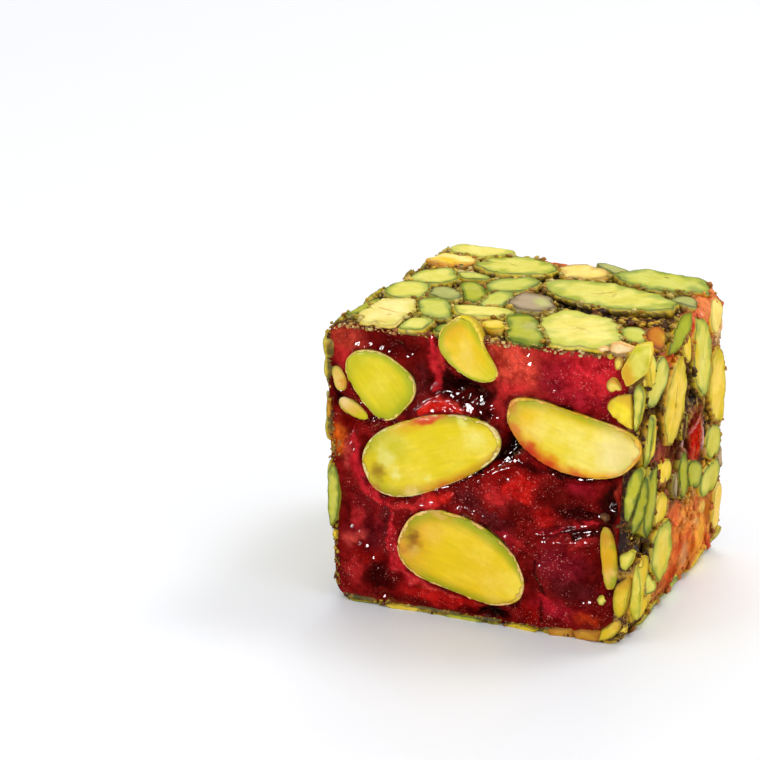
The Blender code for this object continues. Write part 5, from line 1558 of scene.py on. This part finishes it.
# Each is: kind, depth, how far out, the way its golden wall faces, that wall's share, and its
# outline's corners x, z.
EDGE_PIECES = (
    ("slab", 1.6, 0.55, 205, 1.0, ((16.8, 34.7), (17.2, 33.6), (17.6, 32.8), (18.3, 33.2), (19.2, 34.1),
        (20.0, 34.9), (20.2, 36.0), (20.4, 37.4), (20.5, 38.6), (19.6, 38.4), (18.5, 37.9), (17.8, 36.7),
        (17.2, 35.5))),
    ("crust", 0.7, 0.3, 90, 0.3, ((15.4, 37.2), (15.8, 38.0), (16.8, 38.2), (17.8, 37.9), (18.5, 37.7),
        (17.8, 37.0), (16.3, 36.6), (15.5, 36.8))),
    ("crust", 0.5, 0.2, 90, 0.3, ((14.0, 37.0), (14.6, 37.4), (15.4, 37.3), (15.3, 36.9), (14.5, 36.6))),
    ("peach", 0.7, 0.3, 90, 0.3, ((16.0, 35.2), (16.0, 35.8), (16.4, 36.3), (16.9, 36.0), (17.0, 35.3),
        (16.7, 34.8), (16.3, 34.7))),
    ("cream", 0.6, 0.25, 90, 0.2, ((15.1, 36.0), (15.2, 36.4), (15.6, 36.5), (15.7, 36.1), (15.5, 35.8))),
    ("peach", 0.8, 0.25, 70, 1.0, ((15.2, 32.4), (15.3, 33.2), (15.9, 33.8), (16.4, 33.6), (17.2, 32.2),
        (17.0, 31.8), (16.4, 31.7), (15.6, 31.9))),
    ("lime", 1.3, 0.35, 190, 0.7, ((18.5, 32.0), (18.6, 32.9), (19.1, 33.3), (19.6, 32.6), (19.8, 31.2),
        (19.5, 29.0), (19.2, 27.5), (18.9, 27.6), (18.7, 29.5))),
    ("gold", 0.7, 0.2, 90, 0.2, ((19.3, 33.8), (19.6, 34.2), (20.0, 33.9), (20.0, 33.2), (19.6, 33.0))),
    ("green", 1.0, -0.05, 180, 0.2, ((20.5, 29.6), (21.1, 29.4), (21.0, 26.0), (20.6, 23.4), (20.1, 22.8),
        (20.2, 25.0), (20.4, 27.5))),
    ("green", 1.3, 0.35, 180, 0.6, ((19.2, 22.7), (20.1, 23.3), (20.4, 22.2), (20.0, 20.0), (19.5, 18.0),
        (18.9, 16.0), (18.4, 16.3), (18.2, 18.5), (18.5, 21.0))),
    ("deep", 1.2, 0.2, 180, 0.3, ((20.4, 22.1), (20.9, 21.8), (21.1, 19.5), (20.8, 16.8), (20.1, 15.2),
        (19.5, 14.5), (19.3, 15.8), (19.6, 18.2), (20.1, 20.6))),
    ("brown", 0.5, 0.15, 90, 0.3, ((15.2, 16.4), (15.8, 16.7), (16.4, 16.5), (16.5, 16.0), (16.0, 15.6),
        (15.4, 15.9))),
    ("brown", 0.4, 0.1, 90, 0.3, ((17.2, 15.0), (17.9, 15.0), (18.5, 15.4), (18.9, 16.1), (18.6, 16.2),
        (18.0, 15.6), (17.3, 15.4))),
    ("butter", 0.9, 0.3, 90, 0.2, ((18.2, 10.7), (18.2, 11.8), (18.9, 12.2), (19.5, 12.7), (20.0, 12.4),
        (19.7, 11.0), (19.0, 9.9), (18.5, 10.1))),
    ("gold", 0.6, 0.1, 90, 0.4, ((20.5, 10.6), (20.6, 11.6), (20.9, 11.9), (21.1, 11.3), (20.9, 10.4))),
    ("gold", 1.4, 0.35, 120, 0.8, ((17.9, 4.0), (18.4, 3.5), (18.9, 3.9), (19.4, 5.0), (19.7, 7.0),
        (19.7, 8.7), (19.4, 9.4), (18.7, 8.5), (17.9, 7.9), (17.6, 6.8), (17.6, 5.3))),
    ("butter", 1.3, 0.2, 200, 0.4, ((19.7, 4.8), (20.1, 3.9), (20.6, 3.5), (21.0, 3.9), (21.1, 6.2),
        (21.0, 8.2), (20.7, 9.9), (20.3, 11.0), (20.0, 9.6), (19.8, 7.0))),
    ("butter", 0.8, 0.3, 120, 0.3, ((15.6, 5.6), (15.9, 6.2), (16.5, 6.6), (16.9, 6.4), (16.8, 5.6),
        (16.4, 5.0), (15.9, 5.0))),
    ("gold", 1.0, 0.25, 60, 0.5, ((16.2, 1.5), (17.2, 2.4), (18.2, 3.4), (18.8, 3.3), (18.8, 2.2),
        (18.0, 1.1), (17.0, 0.5), (16.0, 0.2))),
    ("ochre", 1.0, 0.25, 90, 0.6, ((12.6, 0.9), (13.8, 1.3), (15.2, 1.4), (16.3, 1.6), (16.2, 0.3),
        (14.6, -0.1), (13.0, -0.2))),
    ("ochre", 1.0, 0.15, 90, 0.6, ((9.4, 0.7), (11.0, 1.0), (12.6, 1.1), (12.8, 0.0), (11.2, -0.3),
        (9.6, -0.2))),
    ("gold", 0.6, 0.1, 90, 0.3, ((18.7, 1.9), (19.1, 2.7), (19.6, 2.6), (19.5, 1.8))),
    ("gold", 0.7, 0.1, 90, 0.5, ((3.4, 0.1), (4.6, 0.5), (6.6, 0.5), (8.2, 0.3), (7.6, -0.2), (4.4, -0.2))),
    ("green", 0.7, 0.1, 90, 0.5, ((-5.0, 0.2), (-3.2, 0.5), (-0.6, 0.5), (1.0, 0.2), (-0.8, -0.2),
        (-3.8, -0.2))),
    ("gold", 0.7, 0.1, 90, 0.5, ((-12.8, 0.3), (-10.6, 0.6), (-8.0, 0.5), (-6.6, 0.2), (-8.8, -0.1),
        (-11.6, -0.1))),
    ("green", 1.4, 0.3, 0, 0.3, ((-20.1, 17.4), (-19.4, 18.3), (-18.8, 16.8), (-18.5, 14.5), (-18.7, 12.2),
        (-19.2, 10.4), (-19.8, 9.7), (-20.1, 11.2), (-20.2, 14.2))),
    ("gold", 0.6, 0.1, 0, 0.5, ((-20.0, 8.4), (-19.6, 9.4), (-19.1, 9.2), (-19.1, 8.2), (-19.6, 7.8))),
    ("ochre", 0.6, 0.1, 0, 0.5, ((-20.0, 24.2), (-19.8, 26.4), (-19.4, 26.2), (-19.4, 24.4),
        (-19.7, 23.6))),
)

# The wedge of nut at the jelly's right edge, which stands for a chip of the CAD.
WEDGE = ("wedge", 1.6, 0.3, 60, 0.7, ((15.4, 29.9), (15.7, 30.9), (16.5, 31.6), (17.6, 31.9), (18.2, 31.9),
        (18.5, 30.0), (18.7, 27.7), (18.0, 27.9), (17.0, 28.4), (16.0, 29.1)))
EDGE_GRID = (48, 8)
WEDGE_GRID = (80, 18)
EDGE_COLOURS = {
    **SLICE_COLOURS,
    "wedge": ((255, 230, 40), (238, 206, 30), (160, 120, 20), (246, 196, 20)),
    "slab": ((236, 228, 130), (206, 204, 84), (240, 214, 130), (246, 196, 40)),
    "crust": ((250, 226, 176), (244, 206, 148), (226, 160, 108), (240, 200, 120)),
    "ochre": ((214, 156, 48), (196, 128, 32), (150, 92, 26), (206, 140, 34)),
    "brown": ((132, 82, 30), (98, 56, 18), (60, 28, 10), (126, 70, 22)),
}

# Above this height a piece bends over the top edge: mm, and how far it goes left, in and down.
BEND_START = 36.4
BEND_WAY = (0.66, 1.5, 0.5)


def flat_piece(number, family, deep, lift, way, wall, corners, columns, rings):
    """Points and colours of a nut piece at the cut.

    Its outline is the corners' polygon, walked at even steps and smoothed.  Rings shrink it
    towards its middle for the flat, leaning face, and a bevel, a rough wall and a back close it.
    """
    closed = np.array([*corners, corners[0]])
    walked = np.r_[0, np.cumsum(np.hypot(*np.diff(closed, axis=0).T))]
    steps = np.arange(columns) * walked[-1] / columns
    rim = np.stack([np.interp(steps, walked, closed[:, k]) for k in (0, 1)], 1)
    rim = (np.roll(rim, 1, axis=0) + 2 * rim + np.roll(rim, -1, axis=0)) / 4
    rim = rim + 0.03 * np.stack([waves(rim, 0.7, 320 + number), waves(rim, 0.7, 350 + number)], 1)
    centre = rim.mean(0)
    spread = rim - centre
    size = np.hypot(*spread.T).max()
    bevel = spread / np.hypot(*spread.T)[:, None]
    shares = np.linspace(0, 1, rings + 1)[1:]
    offset = np.concatenate([[[0, 0]], *((spread - 0.16 * bevel) * share for share in shares),
                             spread - 0.05 * bevel, spread, spread + 0.04 * bevel, spread * 0.9, spread * 0.5,
                             [[0, 0]]])
    out = capped(0, np.r_[np.zeros(rings), -0.05, -0.18, -0.6 * deep, -deep, -deep], -deep, columns)
    share = capped(0, np.r_[shares, 1.03, 1.1, 1.3, 1.6, 2.0], 2.4, columns)
    lean = 1.7 * number
    out = out + 0.25 * (offset[:, 0] * math.cos(lean) + offset[:, 1] * math.sin(lean)) / size * (share < 1.2)
    place = centre + offset
    over = 0.4 * np.maximum(place[:, 1] - BEND_START, 0) ** 1.5
    left, back, down = (over * amount for amount in BEND_WAY)
    points = np.stack([place[:, 0] - left, -BLOCK[1] / 2 - lift - out + 0.04 * waves(place, 1.1, 380 + number)
                       + back, place[:, 1] - down], 1)
    middle, band, line, side = (linear(colour) for colour in EDGE_COLOURS[family])
    drift = 0.15 * waves(place, 1.4, 390 + number)
    paint = mixed(np.tile(middle, (len(share), 1)), band, smooth_step(share + drift, 0.5, 1.0))
    toward = turned(*offset.T, way)[0] / size
    paint = mixed(paint, side * (0.9, 0.85, 0.7), wall * smooth_step(toward, 0.10, 0.50))
    paint = mixed(paint, line, 0.6 * np.exp(-((share - 1.02) / 0.04) ** 2))
    paint = mixed(paint, side * 0.85, smooth_step(share, 1.06, 1.2))
    paint = paint * (1.0, 0.97, 0.9 if family == "crust" else 0.6)
    return points, np.clip(paint, 0, 1)


shells = [flat_piece(number, *row, *EDGE_GRID) for number, row in enumerate(EDGE_PIECES)]
shells_piece("edge_pieces", shells, EDGE_GRID[0], "sliced_pistachio", slice_finish)
wedge = shells_piece("chip_upper_right_cut", [flat_piece(40, *WEDGE, *WEDGE_GRID)], WEDGE_GRID[0],
                     "cut_kernel", slice_finish)
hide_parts("chip_upper_right")


# The crumbs: chopped nut that sticks to the slices' rims, lies in the seams and hangs along
# the cut edges.  They are small golden and cream lumps, redder where they lie in wet jelly,
# joined into one mesh.

# Crumbs on the slices' rims, on the bed, at the cuts' edges and hanging over the upper right edge.
RIM_SPACING = 0.29
RIM_COLUMNS = 60
RIM_REACH = 17.1
BED_CRUMB_COUNT = 620
BED_CRUMB_TRIES = 20000
BED_CRUMB_REACH = 17.0
EDGE_CRUMB_COUNT = 2600
EDGE_CRUMB_PLACE = 17.2
FRONT_SHARE = 0.75
HANGING_COUNT = 150
HANGING_COLOURS = ((184, 132, 28), (214, 172, 52), (120, 64, 14), (76, 34, 8))
CRUMB_COLOURS = ((232, 198, 84), (240, 214, 112), (214, 164, 54), (196, 178, 60), (244, 224, 138),
                 (206, 142, 50), (222, 186, 66), (176, 128, 36))
TOP_EDGE_COLOURS = ((232, 196, 124), (214, 160, 90), (196, 126, 72), (240, 212, 136), (186, 150, 56),
                    (150, 80, 40))
LOW_EDGE_COLOURS = ((190, 138, 48), (150, 96, 34), (212, 172, 66), (116, 58, 24), (170, 144, 44),
                    (90, 36, 18))

# How much of red, green and blue the crumbs on the shaded right side lose.
RIGHT_LOSS = (0.16, 0.36, 0.54)


def crumb_shells(s, y, out, radius, rng):
    """Lumps at many places: an icosahedron's corners, pushed in or out at random, stretched and spun."""
    corner = np.arange(5) * 2 * np.pi / 5
    upper, lower = (np.stack([np.cos(ring) * 0.894, np.sin(ring) * 0.894, np.full(5, level)], 1)
                    for ring, level in ((corner, 0.447), (corner + 0.628, -0.447)))
    ball = np.concatenate([[[0, 0, 1]], upper, lower, [[0, 0, -1]]])
    lumps = ball[None] * rng.uniform(0.7, 1.3, (len(s), len(ball), 1)) * radius[:, None, None]
    lumps[:, :, 2] *= rng.uniform(0.6, 1.0, (len(s), 1))
    lumps[:, :, 0] *= rng.uniform(0.9, 1.9, (len(s), 1))
    spin = rng.uniform(0, 2 * np.pi, (len(s), 1))
    u = lumps[:, :, 0] * np.cos(spin) - lumps[:, :, 1] * np.sin(spin)
    v = lumps[:, :, 0] * np.sin(spin) + lumps[:, :, 1] * np.cos(spin)
    ways = s[:, None] + u, y[:, None] + v, out[:, None] + lumps[:, :, 2]
    return on_coat(*(way.ravel() for way in ways))


def rim_crumbs(number, rng):
    """Places of the crumbs on one slice's rim: random ways out, more of them where it reaches far."""
    s, y, length, width, turn, height = places[number]
    reach = grown_outline(number, RIM_COLUMNS)
    count = int(math.pi * (length + width) / 2 / RIM_SPACING)
    column = rng.choice(RIM_COLUMNS, count, p=reach / reach.sum())
    angle = (column + rng.uniform(-0.5, 0.5, count)) * 2 * np.pi / RIM_COLUMNS
    away = reach[column] + rng.uniform(-0.12, 0.14, count)
    back_u, back_v = turned(away * np.cos(angle), away * np.sin(angle), -turn)
    spot = np.stack([s + back_u, y + back_v, height - rng.uniform(0.0, 0.5, count)], 1)
    crusty = waves(spot[:, :2], 3.0, 960) + 0.6 * waves(spot[:, :2], 0.9, 961) > -0.2
    return spot[crusty]


rng = np.random.default_rng(SEED)
s, y, out = np.concatenate([rim_crumbs(number, rng) for number in range(len(places))]).T
radius = 0.10 + 0.34 * rng.uniform(0, 1, len(s)) ** 2
kept = np.abs(y) < RIM_REACH
s, y, out, radius = s[kept], y[kept], out[kept], radius[kept]

# Crumbs on the bed between the slices, fewer where the jelly lies bare and wet.
more_s = rng.uniform(0, AROUND, BED_CRUMB_TRIES)
more_y = rng.uniform(-BED_CRUMB_REACH, BED_CRUMB_REACH, BED_CRUMB_TRIES)
free = np.min([oval_distance(more_s, more_y, place) for place in places], axis=0) > 0.8
free &= bed_look(more_s, more_y)[2] < rng.uniform(0.1, 0.7, len(more_s))
more_s, more_y = more_s[free][:BED_CRUMB_COUNT], more_y[free][:BED_CRUMB_COUNT]
more_radius = 0.16 + 0.50 * rng.uniform(0, 1, len(more_s)) ** 2
_, swell, bare = bed_look(more_s, more_y)
level = np.array([BED_LEVEL[side_of(place)] for place in more_s])
more_out = np.minimum(swell - level + 0.35 * more_radius, 0.05) - 0.5 * more_radius * bare
s, y = np.r_[s, more_s], np.r_[y, more_y]
out, radius = np.r_[out, more_out], np.r_[radius, more_radius]
tint = linear(CRUMB_COLOURS)[rng.integers(0, len(CRUMB_COLOURS), len(s))]
bed_tint, _, bare = bed_look(s, y)
tint = mixed(tint, np.clip(bed_tint * 1.3, 0, 1), np.clip(0.3 + 1.6 * bare, 0, 0.9))
tint = tint * (1 - faces_side("right", heading_at(s % AROUND))[:, None] * RIGHT_LOSS)

# Larger lumps that hang over the upper right edge.
hung = rng.uniform(0, 1, (3, HANGING_COUNT))
hung_s = 8.5 + 9.5 * hung[0]
hung_y = 0.3 - 0.20 * hung_s - 1.6 * hung[1]
ragged = waves(np.stack([hung_s, hung_y * 0.4], 1), 1.1, 970) > -0.1
s, y, out = np.r_[s, hung_s[ragged]], np.r_[y, hung_y[ragged]], np.r_[out, -0.15 - 0.45 * hung[1][ragged]]
radius = np.r_[radius, 0.25 + 0.35 * hung[2][ragged] ** 2]
tint = np.concatenate([tint, linear(HANGING_COLOURS)[rng.integers(0, 4, ragged.sum())]])
lumps = crumb_shells(s, y, out, radius, rng)

# Crumbs along the edges of the two cuts.
s = rng.uniform(0, AROUND, EDGE_CRUMB_COUNT)
ends = np.where(rng.uniform(size=EDGE_CRUMB_COUNT) < FRONT_SHARE, -1, 1)
low = np.array([BED_LEVEL[side_of(place)] for place in s]) + rng.uniform(-0.1, 0.5, EDGE_CRUMB_COUNT)
radius = 0.07 + 0.22 * rng.uniform(0, 1, EDGE_CRUMB_COUNT) ** 2
y = ends * (EDGE_CRUMB_PLACE + rng.normal(0, 0.12, EDGE_CRUMB_COUNT))
edge_lumps = crumb_shells(s, y, -low, radius, rng)
choice = rng.integers(0, 6, EDGE_CRUMB_COUNT)
upper = (np.cos(heading_at(s)) > 0.5)[:, None]
edge_tint = np.where(upper, linear(TOP_EDGE_COLOURS)[choice], linear(LOW_EDGE_COLOURS)[choice])

points = np.concatenate([lumps, edge_lumps])
tint = np.concatenate([tint, edge_tint]) * rng.uniform(0.75, 1.1, (len(points) // 12, 1))
fan = shell_faces(2, 5)
shell = np.array([face[:3] for face in fan] + [[face[0], face[2], face[3]] for face in fan[:5]])
faces = (shell[None] + 12 * np.arange(len(tint))[:, None, None]).reshape(-1, 3)
tint = np.repeat(np.clip(tint, 0, 1), 12, axis=0)
crumbs = new_piece("coat_crumbs", points, faces.tolist(), "nut_coat", tint)
crumbs.data.materials.append(slice_finish)


# The floor, the lamps and the camera: a pale floor under soft lamps and a pale sky, small
# lamps that only show as glints in the wet jelly, and the camera at the photograph's angle.

# The camera was fitted to the cube's corners in the photograph: radians, metres and mm.
CAMERA_AZIMUTH = 0.42080109
CAMERA_ELEVATION = 0.32226950
CAMERA_PLACE = (0.0949769, -0.2597779, 0.1178599)
CAMERA_LENS = 2300 / 760 * 36
CENTRE = (0, 0, 0.02)

# Each lamp: name, place, aim, width, height, strength.
SOFT_LAMPS = (
    ("key_top", (0.30, 0.26, 0.66), CENTRE, 0.22, 0.22, 11.0),
    ("key_left", (-0.40, -0.55, 0.45), CENTRE, 0.20, 0.24, 3.3),
    ("back_floor", (-0.7, 1.7, 1.3), (-0.7, 1.7, 0), 1.4, 1.0, 5.5),
    ("fill_right", (0.80, -0.15, 0.30), CENTRE, 0.50, 0.50, 1.6),
)

# Each glint lamp: place, width, height.
GLINT_LAMPS = (
    ((-0.52, -0.66, 0.36), 0.17, 0.14), ((0.00, -0.62, 0.68), 0.15, 0.08), ((0.66, -0.52, 0.26), 0.06, 0.16),
    ((0.20, 0.20, 0.80), 0.10, 0.10), ((0.75, 0.35, 0.36), 0.14, 0.12),
)
GLINT_STRENGTH = 45.0

floor_mesh = bpy.data.meshes.new("floor")
floor_mesh.from_pydata([(-4, -4, 0), (4, -4, 0), (4, 4, 0), (-4, 4, 0)], [], [(0, 1, 2, 3)])
floor = bpy.data.objects.new("floor", floor_mesh)
bpy.context.scene.collection.objects.link(floor)
floor_finish, shader = new_finish("floor", Roughness=0.45, Base_Color=(0.86, 0.872, 0.912, 1.0))
floor_mesh.materials.append(floor_finish)
floor.visible_glossy = False


def softbox(name, place, aim, width, height, strength):
    """A soft rectangular lamp at a place, turned towards another; strength is its brightness."""
    lamp = bpy.data.lights.new(name, "AREA")
    lamp.shape = "RECTANGLE"
    lamp.size, lamp.size_y = width, height
    lamp.energy = strength * width * height * math.pi
    thing = bpy.data.objects.new(name, lamp)
    thing.location = place
    thing.rotation_mode = "QUATERNION"
    thing.rotation_quaternion = (Vector(aim) - Vector(place)).to_track_quat("-Z", "Y")
    bpy.context.scene.collection.objects.link(thing)
    return thing


for lamp in SOFT_LAMPS:
    softbox(*lamp).visible_glossy = False
for number, (place, width, height) in enumerate(GLINT_LAMPS):
    softbox("glint_%d" % number, place, CENTRE, width, height, GLINT_STRENGTH).visible_diffuse = False

world = bpy.data.worlds.new("sky")
world.use_nodes = True
sky = world.node_tree.nodes["Background"].inputs
sky["Color"].default_value = (1.0, 1.0, 1.0, 1.0)
sky["Strength"].default_value = 0.9
world.cycles_visibility.glossy = False
bpy.context.scene.world = world
bpy.context.scene.view_settings.view_transform = "Standard"

camera = bpy.data.cameras.new("camera")
camera.lens = CAMERA_LENS
camera.sensor_width = 36
camera.clip_start, camera.clip_end = 0.01, 20
eye = bpy.data.objects.new("camera", camera)
eye.location = CAMERA_PLACE
eye.rotation_euler = (math.pi / 2 - CAMERA_ELEVATION, 0, CAMERA_AZIMUTH)
bpy.context.scene.collection.objects.link(eye)
bpy.context.scene.camera = eye
